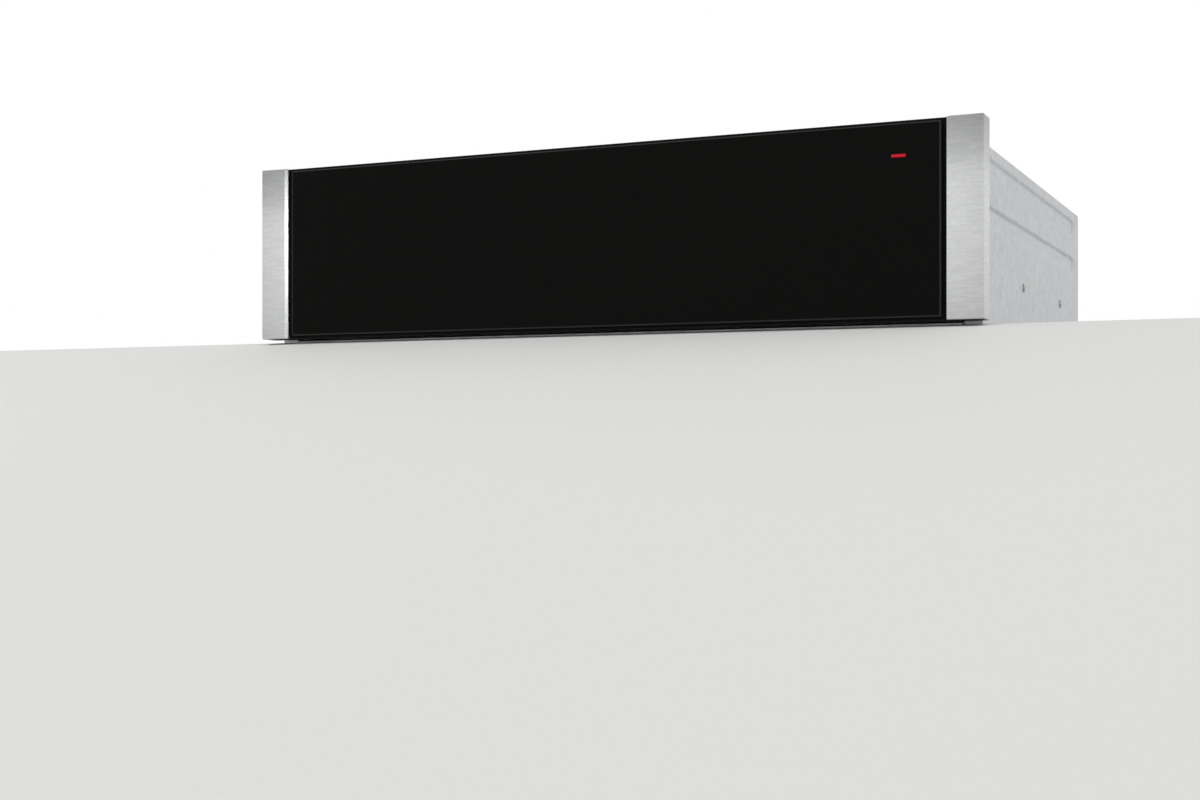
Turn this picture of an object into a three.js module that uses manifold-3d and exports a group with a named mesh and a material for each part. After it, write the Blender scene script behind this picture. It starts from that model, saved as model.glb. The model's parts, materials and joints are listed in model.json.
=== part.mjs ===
// Built-in warming drawer. A low sheet-steel casing stands in a kitchen niche and carries
// the appliance above. Inside it a drawer with a heated glass plate runs on ball slides,
// behind a handleless front of black glass between two steel trims. Pressing the front
// releases a sprung plunger at the back, which pushes the drawer out.
// Millimetres. +X right, -Y towards the user, +Z up. The origin is the middle of the
// underside of the whole part.
import * as THREE from 'three';
import { mergeVertices } from 'three/addons/utils/BufferGeometryUtils.js';
import Module from 'manifold-3d';

const wasm = await Module();
wasm.setup();

// Front
const frontWidth = 595;
const frontHeight = 140;
const frontDepth = 20;
const frontLift = 2;
const frontGap = 4;
const glassThickness = 4;
const glassSetback = 0.6;
const glassMargin = 2.5;
const glassBevel = 0.8;
const trimWidth = 25.5;
const trimGap = 4;
const trimReturn = 1.5;
const trimBevelWidth = 2.2;
const trimBevelDepth = 1.9;
const trimEdgeRadius = 1;
const carrierSheet = 1.2;
const backPanelSheet = 1;
const indicatorInset = 29.5;
const indicatorBelowTop = 25;
const indicatorWidth = 11;
const indicatorHeight = 2.7;
const indicatorFlange = 2;
const lampModuleWidth = 40;
const lampModuleHeight = 20;
const lampModuleDepth = 9;

// Casing
const casingWidth = 558;
const casingHeight = 138;
const casingDepth = 522;
const casingSheet = 1.2;
const flangeSheet = 1.5;
const flangeWidth = 13;
const flangeHole = 5;
const stripHeight = 9;
const stripLeg = 16;
const beadWidth = 34;
const beadHeight = 4;
const beadEndGap = 34;
const beadSpacing = 124;
const ventWidth = 4;
const ventHeight = 34;
const ventPitch = 12;
const ventCount = 14;

// Ball slides, from the casing's wall towards the drawer
const slideDepth = 12.7;
const slideHeight = 45;
const slideLength = 448;
const slideSheet = 1.2;
const slideFrontGap = 4;
const slideAboveDrawerBottom = 9.5;
const ballDiameter = 2.9;
const ballPlay = 0.3;
const cageSheet = 0.6;
const cageLength = 200;
const cageStart = 116;
const ballsPerRow = 5;
const middleOffset = 3;
const slideLipGap = 1.7;

// Drawer box
const drawerBottom = 12;
const drawerWallHeight = 100;
const drawerDepth = 458;
const drawerSheet = 1;
const drawerFlange = 15;
const hemWidth = 4;
const hemHeight = 3;
const fitGap = 0.3;
const panDepth = 28;
const deckSheet = 1;
const ledgeDepth = 46;
const ledgeHeight = 74;
const plateSideGap = 26.1;
const plateEndGap = 28;
const plateThickness = 4;
const plateLap = 10;
const plateBevel = 1.2;
const spreaderThickness = 2;
const spreaderGap = 3;
const heaterDiameter = 6.4;
const heaterRuns = 6;
const heaterEdge = 34;
const insulationThickness = 19;
const wiringChannel = 34;
const limiterSize = 14;
const bracketSheet = 2;
const bracketWidth = 30;
const bracketHeight = 38;

// Selector
const selectorInset = 72.1;
const knobDiameter = 32;
const knobHeight = 15;
const knobDraft = 1.5;
const knobGap = 0.6;
const spindleDiameter = 6;
const spindlePlay = 0.1;
const switchSize = 28;
const switchHeight = 24;
const housingWall = 2;
const housingWidth = 64;
const housingHeight = 34;

// Push-to-open latch
const strikerWidth = 44;
const strikerHeight = 30;
const strikerThickness = 3;
const plungerHeight = 38;
const plungerDiameter = 12;
const magnetDiameter = 20;
const magnetLength = 6;
const latchFrontGap = 3;
const latchWidth = 56;
const latchHeight = 56;
const latchWall = 4;
const chamberDiameter = 26;
const collarDiameter = 24;
const collarLength = 3;
const ejectStroke = 30;
const pressStroke = 3;
const springDiameter = 18;
const springWire = 1.6;
const springTurns = 4;

// Supply
const terminalInset = 77.8;
const terminalWidth = 70;
const terminalHeight = 70;
const terminalDepth = 24;
const terminalLift = 14;
const terminalWall = 2;
const blockWidth = 44;
const blockHeight = 18;
const blockDepth = 12;
const glandDiameter = 18;
const glandBore = 9;
const glandLength = 15;
const leadDiameter = 7;
const leadHolePlay = 0.6;
const wireHoleDiameter = 12;
const leadEntryX = -104;
const leadEntryHeight = 24;
const leadExitHeight = 40;
const junctionWidth = 40;
const junctionDepth = 16;
const junctionHeight = 14;
const junctionGap = 11;

// Planes and places worked out from the sizes above
const leadHole = leadDiameter + 2 * leadHolePlay;
const overallDepth = frontDepth + frontGap + flangeSheet + casingDepth + terminalDepth;
const yFace = -overallDepth / 2;
const yGlass = yFace + glassSetback;
const yCarrier = yGlass + glassThickness;
const yFrontBack = yFace + frontDepth;
const yFlange = yFrontBack + frontGap;
const yCasing = yFlange + flangeSheet;
const yRear = yCasing + casingDepth;
const yRearInside = yRear - casingSheet;
const yDrawerRear = yFrontBack + drawerDepth;
const ySlide = yCasing + slideFrontGap;
const yLedge = yFrontBack + ledgeDepth;
const xFront = frontWidth / 2;
const xCasing = casingWidth / 2;
const xCasingInside = xCasing - casingSheet;
const xDrawer = xCasingInside - slideDepth;
const xDrawerInside = xDrawer - drawerSheet;
const xCarrier = xFront - trimReturn;
const zFrontTop = frontLift + frontHeight;
const zPanFloor = drawerBottom + drawerSheet;
const zPanTop = zPanFloor + panDepth;
const zDeck = zPanTop + deckSheet;
const zLedge = drawerBottom + ledgeHeight;
const zDrawerTop = drawerBottom + drawerWallHeight;
const zSlide = drawerBottom + slideAboveDrawerBottom + slideHeight / 2;
const zIndicator = zFrontTop - indicatorBelowTop;
const indicatorX = xFront - trimWidth - trimGap - indicatorInset;
const selectorX = xDrawerInside - selectorInset;
const terminalX = terminalInset - xCasingInside;
const plateWidth = 2 * (xDrawerInside - plateSideGap);
const plateDepth = yDrawerRear - yLedge - 2 * plateEndGap;
const yPlate = (yLedge + yDrawerRear) / 2;
const ySelector = yFrontBack + ledgeDepth / 2;
const yLatch = yDrawerRear + strikerThickness + magnetLength + latchFrontGap;

const model = new THREE.Group();

const finishes = {
  brushedSteel: { color: 0xc9c8c4, roughness: 0.34, metalness: 1 },
  traySteel: { color: 0xb4b4b0, roughness: 0.3, metalness: 1 },
  zincSheet: { color: 0x9ea3a5, roughness: 0.5, metalness: 0.9 },
  blackCoat: { color: 0x161616, roughness: 0.55, metalness: 0.2 },
  blackGlass: { color: 0x0d0d0b, roughness: 0.05, metalness: 0 },
  plateGlass: { color: 0x1b1b1c, roughness: 0.08, metalness: 0 },
  redLens: { color: 0xd11f32, roughness: 0.3, metalness: 0 },
  aluminium: { color: 0xd2d3d4, roughness: 0.4, metalness: 1 },
  heaterSheath: { color: 0x6f6a64, roughness: 0.5, metalness: 0.9 },
  insulation: { color: 0xe2ddcf, roughness: 0.95, metalness: 0 },
  blackPlastic: { color: 0x1b1c1d, roughness: 0.6, metalness: 0 },
  greyPlastic: { color: 0x5c5f61, roughness: 0.6, metalness: 0 },
  ceramic: { color: 0xe9e4d8, roughness: 0.6, metalness: 0 },
  magnet: { color: 0x4a4b4d, roughness: 0.4, metalness: 0.9 },
  springSteel: { color: 0x8d8f90, roughness: 0.3, metalness: 1 },
  leadSheath: { color: 0xd9d6cf, roughness: 0.55, metalness: 0 },
};

function addPart(name, geometry, finish) {
  const mesh = new THREE.Mesh(geometry, new THREE.MeshStandardMaterial(finish));
  mesh.name = name;
  model.add(mesh);
}

// A box from its low and high value along each axis
function span(x, y, z) {
  const geometry = new THREE.BoxGeometry(x[1] - x[0], y[1] - y[0], z[1] - z[0]);
  geometry.translate((x[0] + x[1]) / 2, (y[0] + y[1]) / 2, (z[0] + z[1]) / 2);
  return geometry;
}

function outline(points) {
  return new THREE.Shape(points.map(([across, up]) => new THREE.Vector2(across, up)));
}

// A section drawn across X and Z, carried from y[0] to y[1]
function alongY(shape, y) {
  const geometry = new THREE.ExtrudeGeometry(shape, { depth: y[1] - y[0], bevelEnabled: false });
  geometry.rotateX(Math.PI / 2);
  geometry.translate(0, y[1], 0);
  return geometry;
}

// A section drawn across X and Y, carried from z[0] to z[1]
function alongZ(shape, z, curveSegments = 6) {
  const settings = { depth: z[1] - z[0], bevelEnabled: false, curveSegments };
  const geometry = new THREE.ExtrudeGeometry(shape, settings);
  geometry.translate(0, 0, z[0]);
  return geometry;
}

// A section drawn across Y and Z, carried from x[0] to x[1]
function alongX(shape, x) {
  const geometry = new THREE.ExtrudeGeometry(shape, { depth: x[1] - x[0], bevelEnabled: false });
  const turn = new THREE.Matrix4();
  turn.makeBasis(new THREE.Vector3(0, 1, 0), new THREE.Vector3(0, 0, 1), new THREE.Vector3(1, 0, 0));
  geometry.applyMatrix4(turn);
  geometry.translate(x[0], 0, 0);
  return geometry;
}

// A round bar along X, Y or Z between two values, centred on the other two
function bar(axis, ends, centre, diameter, sides = 24) {
  const length = ends[1] - ends[0];
  const geometry = new THREE.CylinderGeometry(diameter / 2, diameter / 2, length, sides);
  const middle = (ends[0] + ends[1]) / 2;
  if (axis === 'x') {
    geometry.rotateZ(-Math.PI / 2);
    geometry.translate(middle, centre[0], centre[1]);
  } else if (axis === 'y') {
    geometry.translate(centre[0], middle, centre[1]);
  } else {
    geometry.rotateX(Math.PI / 2);
    geometry.translate(centre[0], centre[1], middle);
  }
  return geometry;
}

function toSolid(geometry) {
  const bare = geometry.clone();
  bare.deleteAttribute('normal');
  bare.deleteAttribute('uv');
  const merged = mergeVertices(bare, 1e-4);
  const corners = merged.index.array;
  const kept = [];
  for (let i = 0; i < corners.length; i += 3) {
    const [a, b, c] = corners.slice(i, i + 3);
    if (a !== b && b !== c && c !== a) kept.push(a, b, c);
  }
  const vertProperties = new Float32Array(merged.attributes.position.array);
  const triVerts = new Uint32Array(kept);
  return new wasm.Manifold(new wasm.Mesh({ numProp: 3, vertProperties, triVerts }));
}

function toGeometry(solid) {
  const mesh = solid.getMesh();
  const geometry = new THREE.BufferGeometry();
  geometry.setAttribute('position', new THREE.BufferAttribute(mesh.vertProperties, 3));
  geometry.setIndex(new THREE.BufferAttribute(mesh.triVerts, 1));
  geometry.computeVertexNormals();
  return geometry;
}

function joined(...pieces) {
  return toGeometry(pieces.map(toSolid).reduce((whole, piece) => whole.add(piece)));
}

function cut(base, tools) {
  return toGeometry(tools.map(toSolid).reduce((rest, tool) => rest.subtract(tool), toSolid(base)));
}

// Pieces are drawn on the right and mirrored for the left
function onSide(side, geometry) {
  if (side === 'right') return geometry;
  const copy = toGeometry(toSolid(geometry));
  copy.scale(-1, 1, 1);
  const corners = copy.index.array;
  for (let i = 0; i < corners.length; i += 3) {
    const second = corners[i + 1];
    corners[i + 1] = corners[i + 2];
    corners[i + 2] = second;
  }
  return copy;
}

// ---- front ----

// The pane's front edges are ground to a small bevel, and a slot lets the lamp show
function frontGlass() {
  const halfWidth = xFront - trimWidth - trimGap - glassBevel;
  const bottom = frontLift + glassMargin + glassBevel;
  const top = zFrontTop - glassMargin - glassBevel;
  const shape = outline([[-halfWidth, bottom], [halfWidth, bottom], [halfWidth, top], [-halfWidth, top]]);
  const settings = {
    depth: glassThickness - glassBevel,
    bevelSize: glassBevel,
    bevelThickness: glassBevel,
    bevelSegments: 1,
  };
  const pane = new THREE.ExtrudeGeometry(shape, settings);
  pane.rotateX(Math.PI / 2);
  pane.translate(0, yCarrier, 0);
  const behind = span([-frontWidth, frontWidth], [yCarrier, yCarrier + frontDepth], [0, zFrontTop]);
  return cut(pane, [behind, indicatorSlot(0)]);
}

// The lamp's slot, opened by a gap all round, through the pane and the carrier
function indicatorSlot(gap) {
  const x = [indicatorX - indicatorWidth / 2 - gap, indicatorX + indicatorWidth / 2 + gap];
  const z = [zIndicator - indicatorHeight / 2 - gap, zIndicator + indicatorHeight / 2 + gap];
  return span(x, [yFace, yCarrier + carrierSheet * 2], z);
}

// A shallow pan of coated sheet, open towards the drawer
function frontCarrier() {
  const y = [yCarrier, yFrontBack - backPanelSheet];
  const pan = span([-xCarrier, xCarrier], y, [frontLift, zFrontTop]);
  const inside = span(
    [-xCarrier + carrierSheet, xCarrier - carrierSheet],
    [y[0] + carrierSheet, y[1] + carrierSheet],
    [frontLift + carrierSheet, zFrontTop - carrierSheet],
  );
  return cut(pan, [inside, indicatorSlot(0)]);
}

function frontBackPanel() {
  const y = [yFrontBack - backPanelSheet, yFrontBack];
  const panel = span([-xCarrier, xCarrier], y, [frontLift, zFrontTop]);
  const holeCentre = [selectorX - housingWidth, zPanTop + wireHoleDiameter];
  const wireHole = bar('y', [y[0] - 1, y[1] + 1], holeCentre, wireHoleDiameter);
  return cut(panel, [wireHole]);
}

// Face, bevelled inner edge, rounded outer edge and a return along the side
function frontTrim() {
  const inner = xFront - trimWidth;
  const shape = new THREE.Shape();
  shape.moveTo(inner, yCarrier);
  shape.lineTo(inner, yFace + trimBevelDepth);
  shape.lineTo(inner + trimBevelWidth, yFace);
  shape.lineTo(xFront - trimEdgeRadius, yFace);
  shape.absarc(xFront - trimEdgeRadius, yFace + trimEdgeRadius, trimEdgeRadius, -Math.PI / 2, 0, false);
  shape.lineTo(xFront, yFrontBack);
  shape.lineTo(xCarrier, yFrontBack);
  shape.lineTo(xCarrier, yCarrier);
  return alongZ(shape, [frontLift, zFrontTop]);
}

// A bar that fills the slot in the pane, with a flange behind the carrier's sheet
function indicatorLens() {
  const play = 0.05;
  const x = [indicatorX - indicatorWidth / 2 + play, indicatorX + indicatorWidth / 2 - play];
  const z = [zIndicator - indicatorHeight / 2 + play, zIndicator + indicatorHeight / 2 - play];
  const yFlangeFace = yCarrier + carrierSheet;
  const stem = span(x, [yGlass + play, yFlangeFace + 1], z);
  const flange = span(
    [x[0] - indicatorFlange, x[1] + indicatorFlange],
    [yFlangeFace, yFlangeFace + 1],
    [z[0] - indicatorFlange, z[1] + indicatorFlange],
  );
  return joined(stem, flange);
}

// The lamp's housing holds the lens against the carrier
function lampModule() {
  const x = [indicatorX - lampModuleWidth / 2, indicatorX + lampModuleWidth / 2];
  const z = [zIndicator - lampModuleHeight / 2, zIndicator + lampModuleHeight / 2];
  const yStart = yCarrier + carrierSheet;
  const body = span(x, [yStart, yStart + lampModuleDepth], z);
  const halfPocket = indicatorWidth / 2 + indicatorFlange + fitGap;
  const halfHeight = indicatorHeight / 2 + indicatorFlange + fitGap;
  const pocket = span(
    [indicatorX - halfPocket, indicatorX + halfPocket],
    [yStart - 1, yStart + 1 + fitGap],
    [zIndicator - halfHeight, zIndicator + halfHeight],
  );
  return cut(body, [pocket]);
}

// ---- casing ----

// A hollow pressed bead: up is 1 for one that stands up and -1 for one that is sunk
function bead(x, y, zPlate, up) {
  const outerZ = up > 0 ? [zPlate, zPlate + beadHeight] : [zPlate - beadHeight, zPlate];
  return span([x - beadWidth / 2, x + beadWidth / 2], y, outerZ);
}

function beadHollow(x, y, zOutside, up) {
  const deep = beadHeight;
  const z = up > 0 ? [zOutside - 1, zOutside + deep] : [zOutside - deep, zOutside + 1];
  const half = beadWidth / 2 - casingSheet;
  return span([x - half, x + half], [y[0] + casingSheet, y[1] - casingSheet], z);
}

function beadedPlate(z, up) {
  const zFar = up > 0 ? z[1] : z[0];
  const zNear = up > 0 ? z[0] : z[1];
  const y = [yCasing + beadEndGap, yRearInside - beadEndGap - (up > 0 ? yRearInside - yDrawerRear : 0)];
  const centres = [-1.5, -0.5, 0.5, 1.5].map((step) => step * beadSpacing);
  const plate = span([-xCasingInside, xCasingInside], [yCasing, yRear], z);
  const raised = joined(plate, ...centres.map((x) => bead(x, y, zFar, up)));
  return cut(raised, centres.map((x) => beadHollow(x, y, zNear, up)));
}

// Wall with a flange at the front that screws to the edge of the niche
function casingSide() {
  const xFlange = xCasing + flangeWidth;
  const shape = outline([
    [xCasingInside, yFlange],
    [xFlange, yFlange],
    [xFlange, yCasing],
    [xCasing, yCasing],
    [xCasing, yRear],
    [xCasingInside, yRear],
  ]);
  const side = alongZ(shape, [0, casingHeight]);
  const xHole = xCasing + flangeWidth / 2;
  const holes = [0.2, 0.8].map((share) =>
    bar('y', [yFlange - 1, yCasing + 1], [xHole, share * casingHeight], flangeHole, 16));
  return cut(side, holes);
}

// Between the sides, above the floor and under the cover, with vent slots
function casingRear() {
  const wall = span([-xCasingInside, xCasingInside], [yRearInside, yRear], [casingSheet, casingHeight - casingSheet]);
  const openings = [leadPassage([yRearInside - 1, yRear + 1])];
  const zTop = casingHeight - beadHeight * 3;
  for (let i = 0; i < ventCount; i += 1) {
    const x = -terminalX + (i - (ventCount - 1) / 2) * ventPitch;
    const xSlot = x - ventWidth;
    openings.push(span([xSlot, xSlot + ventWidth], [yRearInside - 1, yRear + 1], [zTop - ventHeight, zTop]));
  }
  return cut(wall, openings);
}

function leadPassage(y) {
  return bar('y', y, [terminalX, leadExitHeight], leadHole, 20);
}

// Angle strips close the casing's front edges above and below the drawer
function frontStripTop() {
  const zTop = casingHeight - casingSheet;
  return alongX(outline([
    [yFlange, zTop - stripHeight],
    [yCasing, zTop - stripHeight],
    [yCasing, zTop - flangeSheet],
    [yCasing + stripLeg, zTop - flangeSheet],
    [yCasing + stripLeg, zTop],
    [yFlange, zTop],
  ]), [-xCasingInside, xCasingInside]);
}

function frontStripBottom() {
  return alongX(outline([
    [yFlange, casingSheet],
    [yCasing + stripLeg, casingSheet],
    [yCasing + stripLeg, casingSheet + flangeSheet],
    [yCasing, casingSheet + flangeSheet],
    [yCasing, stripHeight],
    [yFlange, stripHeight],
  ]), [-xCasingInside, xCasingInside]);
}

// ---- ball slides ----

// A channel section: depth from the casing's wall, half height, web at the wall or at the drawer
function channel(depth, half, sheet, webAtWall) {
  const [near, far] = webAtWall ? depth : [depth[1], depth[0]];
  const inward = webAtWall ? sheet : -sheet;
  const x = (value) => xCasingInside - value;
  const points = [
    [x(near), -half],
    [x(far), -half],
    [x(far), -half + sheet],
    [x(near + inward), -half + sheet],
    [x(near + inward), half - sheet],
    [x(far), half - sheet],
    [x(far), half],
    [x(near), half],
  ];
  return outline(points.map(([across, up]) => [across, up + zSlide]));
}

const raceGap = ballDiameter + 2 * ballPlay;
const cabinetHalf = slideHeight / 2;
const middleHalf = cabinetHalf - slideSheet - raceGap;
const drawerHalf = middleHalf - slideSheet - raceGap;
const slideSpan = [ySlide, ySlide + slideLength];

function cabinetSlide() {
  return alongY(channel([0, slideDepth - 2 * slideLipGap], cabinetHalf, slideSheet, true), slideSpan);
}

function middleSlide() {
  return alongY(channel([middleOffset, slideDepth - slideLipGap], middleHalf, slideSheet, true), slideSpan);
}

function drawerSlide() {
  const near = middleOffset + slideSheet + cageSheet + 2 * ballPlay;
  return alongY(channel([near, slideDepth], drawerHalf, slideSheet, false), slideSpan);
}

// A cage is a thin channel with a row of balls above and below
function ballCage(depth, half) {
  const y = [ySlide + cageStart, ySlide + cageStart + cageLength];
  const frame = alongY(channel(depth, half + cageSheet / 2, cageSheet, true), y);
  const balls = [];
  const pitch = cageLength / ballsPerRow;
  for (const side of [-1, 1]) {
    for (let i = 0; i < ballsPerRow; i += 1) {
      const ball = new THREE.SphereGeometry(ballDiameter / 2, 8, 6);
      const depthOfBall = (depth[0] + depth[1] + cageSheet) / 2;
      ball.translate(xCasingInside - depthOfBall, y[0] + pitch * (i + 0.5), zSlide + side * half);
      balls.push(ball);
    }
  }
  return joined(frame, ...balls);
}

function outerCage() {
  const depth = [slideSheet + ballPlay, slideDepth - 3 * slideLipGap + ballPlay];
  return ballCage(depth, middleHalf + raceGap / 2);
}

function innerCage() {
  const near = middleOffset + slideSheet + ballPlay;
  return ballCage([near, slideDepth - slideLipGap - ballPlay * 2], drawerHalf + raceGap / 2);
}

// ---- drawer box ----

// Side wall with an inward flange that carries the pan and a folded hem along the top
function traySide() {
  const inner = xDrawerInside;
  const shape = outline([
    [inner - drawerFlange, drawerBottom],
    [xDrawer, drawerBottom],
    [xDrawer, zDrawerTop],
    [inner - hemWidth, zDrawerTop],
    [inner - hemWidth, zDrawerTop - hemHeight],
    [inner, zDrawerTop - hemHeight],
    [inner, zPanFloor],
    [inner - drawerFlange, zPanFloor],
  ]);
  return alongY(shape, [yFrontBack, yDrawerRear - drawerSheet]);
}

function trayRear() {
  const yInner = yDrawerRear - drawerSheet;
  const wall = span([-xDrawer, xDrawer], [yInner, yDrawerRear], [drawerBottom, zDrawerTop]);
  const xFlange = xDrawerInside - drawerFlange;
  const flange = span([-xFlange, xFlange], [yInner - drawerFlange, yDrawerRear], [drawerBottom, zPanFloor]);
  const xHem = xDrawerInside - hemWidth;
  const hem = span([-xHem, xHem], [yInner - hemWidth, yDrawerRear], [zDrawerTop - hemHeight, zDrawerTop]);
  return cut(joined(wall, flange, hem), [leadEntry()]);
}

function leadEntry() {
  const y = [yDrawerRear - drawerFlange, yDrawerRear + 1];
  return bar('y', y, [leadEntryX, leadEntryHeight], leadHole, 20);
}

const xPan = xDrawerInside - fitGap;
const yPan = [yFrontBack + fitGap, yDrawerRear - drawerSheet - fitGap];

function basePan() {
  const pan = span([-xPan, xPan], yPan, [zPanFloor, zPanTop]);
  const inside = span(
    [-xPan + drawerSheet, xPan - drawerSheet],
    [yPan[0] + drawerSheet, yPan[1] - drawerSheet],
    [zPanFloor + drawerSheet, zPanTop + 1],
  );
  return cut(pan, [inside, leadEntry()]);
}

const windowX = plateWidth / 2 - plateLap;
const windowY = plateDepth / 2 - plateLap;

// A flat frame on the pan's rim, with the window under the heated plate
function deckFrame() {
  const deck = span([-xPan, xPan], [yLedge - drawerSheet * 2, yPan[1]], [zPanTop, zDeck]);
  const window = span([-windowX, windowX], [yPlate - windowY, yPlate + windowY], [zPanTop - 1, zDeck + 1]);
  return cut(deck, [window]);
}

function warmingPlate() {
  const halfX = plateWidth / 2 - plateBevel;
  const halfY = plateDepth / 2 - plateBevel;
  const shape = outline([[-halfX, -halfY], [halfX, -halfY], [halfX, halfY], [-halfX, halfY]]);
  const settings = {
    depth: plateThickness - plateBevel,
    bevelSize: plateBevel,
    bevelThickness: plateBevel,
    bevelSegments: 1,
  };
  const plate = new THREE.ExtrudeGeometry(shape, settings);
  plate.translate(0, yPlate, zDeck);
  const below = span([-frontWidth, frontWidth], [-overallDepth, overallDepth], [0, zDeck]);
  return cut(plate, [below]);
}

function heatSpreader() {
  const x = windowX - spreaderGap;
  const y = windowY - spreaderGap;
  return span([-x, x], [yPlate - y, yPlate + y], [zDeck - spreaderThickness, zDeck]);
}

// A sheathed heater laid in parallel runs, joined by round turns
function heatingElement() {
  const z = zDeck - spreaderThickness - heaterDiameter / 2 - fitGap;
  const halfX = windowX - heaterEdge;
  const halfY = windowY - heaterEdge;
  const pitch = (2 * halfY) / (heaterRuns - 1);
  const route = new THREE.CurvePath();
  let side = -1;
  for (let run = 0; run < heaterRuns; run += 1) {
    const y = yPlate - halfY + run * pitch;
    const from = new THREE.Vector3(side * halfX, y, z);
    const to = new THREE.Vector3(-side * halfX, y, z);
    route.add(new THREE.LineCurve3(from, to));
    if (run < heaterRuns - 1) route.add(heaterTurn(to, pitch, -side));
    side = -side;
  }
  const ring = new THREE.Shape();
  ring.absarc(0, 0, heaterDiameter / 2, 0, 2 * Math.PI);
  const steps = heaterRuns * 22;
  return new THREE.ExtrudeGeometry(ring, { steps, extrudePath: route, curveSegments: 4 });
}

function heaterTurn(start, pitch, side) {
  const points = [];
  for (let i = 0; i <= 8; i += 1) {
    const angle = (i / 8) * Math.PI;
    const x = start.x + (side * Math.sin(angle) * pitch) / 2;
    const y = start.y + ((1 - Math.cos(angle)) * pitch) / 2;
    points.push(new THREE.Vector3(x, y, start.z));
  }
  return new THREE.CatmullRomCurve3(points);
}

function insulationMat() {
  const x = xPan - drawerSheet - fitGap;
  const y = [yLedge, yPan[1] - wiringChannel];
  const z = zPanFloor + drawerSheet;
  return span([-x, x], y, [z, z + insulationThickness]);
}

// A snap-action cut-out held against the spreader's underside
function temperatureLimiter() {
  const zTop = zDeck - spreaderThickness;
  const x = windowX - heaterEdge / 3;
  const y = yPlate + windowY - heaterEdge / 3;
  const half = limiterSize / 2;
  const height = heaterDiameter;
  return span([x - limiterSize, x], [y - half, y + half], [zTop - height, zTop]);
}

function junctionBlock() {
  const yBack = yPan[1] - drawerSheet - junctionGap;
  const x = [leadEntryX - junctionWidth / 2, leadEntryX + junctionWidth / 2];
  const z = zPanFloor + drawerSheet;
  return span(x, [yBack - junctionDepth, yBack], [z, z + junctionHeight]);
}

// Ledge behind the front with the selector's hole, and the tray's front wall below it
function controlPanel() {
  const yInner = yLedge - drawerSheet;
  const sheet = alongX(outline([
    [yFrontBack, zLedge - drawerSheet],
    [yInner, zLedge - drawerSheet],
    [yInner, zDeck],
    [yLedge, zDeck],
    [yLedge, zLedge],
    [yFrontBack, zLedge],
  ]), [-xDrawerInside, xDrawerInside]);
  const hole = bar('z', [zLedge - 3, zLedge + 1], [selectorX, ySelector], spindleDiameter * 1.5, 20);
  return cut(sheet, [hole]);
}

// Angle that joins the tray's side to the back of the front
function frontBracket() {
  const z = [zPanTop + fitGap, zPanTop + fitGap + bracketHeight];
  return alongZ(outline([
    [xDrawerInside, yFrontBack],
    [xDrawerInside, yFrontBack + ledgeDepth - bracketSheet * 2],
    [xDrawerInside - bracketSheet, yFrontBack + ledgeDepth - bracketSheet * 2],
    [xDrawerInside - bracketSheet, yFrontBack + bracketSheet],
    [xDrawerInside - bracketWidth, yFrontBack + bracketSheet],
    [xDrawerInside - bracketWidth, yFrontBack],
  ]), z);
}

// ---- selector ----

const zSwitchTop = zLedge - drawerSheet;

function selectorSwitch() {
  const half = switchSize / 2;
  const z = [zSwitchTop - switchHeight, zSwitchTop];
  const body = span([selectorX - half, selectorX + half], [ySelector - half, ySelector + half], z);
  const bore = bar('z', [z[0] + 4, z[1] + 1], [selectorX, ySelector], spindleDiameter + 2 * spindlePlay);
  return cut(body, [bore]);
}

// Cover under the ledge, open below, round the switch and its wires
function controlHousing() {
  const halfX = housingWidth / 2;
  const y = [yFrontBack + bracketSheet * 2, yLedge - drawerSheet - fitGap];
  const z = [zSwitchTop - housingHeight, zSwitchTop];
  const shell = span([selectorX - halfX, selectorX + halfX], y, z);
  const inside = span(
    [selectorX - halfX + housingWall, selectorX + halfX - housingWall],
    [y[0] + housingWall, y[1] - housingWall],
    [z[0] - 1, z[1] + 1],
  );
  return cut(shell, [inside]);
}

function selectorSpindle() {
  const zTop = zLedge + knobGap + knobHeight * 0.7;
  return bar('z', [zSwitchTop - switchHeight + 6, zTop], [selectorX, ySelector], spindleDiameter);
}

function selectorKnob() {
  const bottom = zLedge + knobGap;
  const top = bottom + knobHeight;
  const edge = 1.2;
  const profile = [
    [0, bottom],
    [knobDiameter / 2, bottom],
    [knobDiameter / 2 - knobDraft, top - edge],
    [knobDiameter / 2 - knobDraft - edge, top],
    [0, top],
  ].map(([radius, height]) => new THREE.Vector2(radius, height));
  const body = new THREE.LatheGeometry(profile, 48);
  body.rotateX(Math.PI / 2);
  body.translate(selectorX, ySelector, 0);
  const boreEnds = [bottom - 1, bottom + knobHeight * 0.7 + spindlePlay];
  const bore = bar('z', boreEnds, [selectorX, ySelector], spindleDiameter + 2 * spindlePlay);
  return cut(body, [bore]);
}

// ---- push-to-open latch ----

function strikerPlate() {
  const x = [-strikerWidth / 2, strikerWidth / 2];
  const z = [plungerHeight - strikerHeight / 2, plungerHeight + strikerHeight / 2];
  return span(x, [yDrawerRear, yDrawerRear + strikerThickness], z);
}

const yMagnet = yDrawerRear + strikerThickness;
const yRod = yMagnet + magnetLength;
const yChamber = [yLatch + latchWall, yRearInside - latchWall];
const yCollar = yChamber[0] + ejectStroke + fitGap;

function latchHousing() {
  const x = [-latchWidth / 2, latchWidth / 2];
  const body = span(x, [yLatch, yRearInside], [casingSheet, casingSheet + latchHeight]);
  const chamber = bar('y', yChamber, [0, plungerHeight], chamberDiameter, 32);
  const neck = bar('y', [yLatch - 1, yChamber[0] + 1], [0, plungerHeight], plungerDiameter + 2 * fitGap, 32);
  return cut(body, [chamber, neck]);
}

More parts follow.
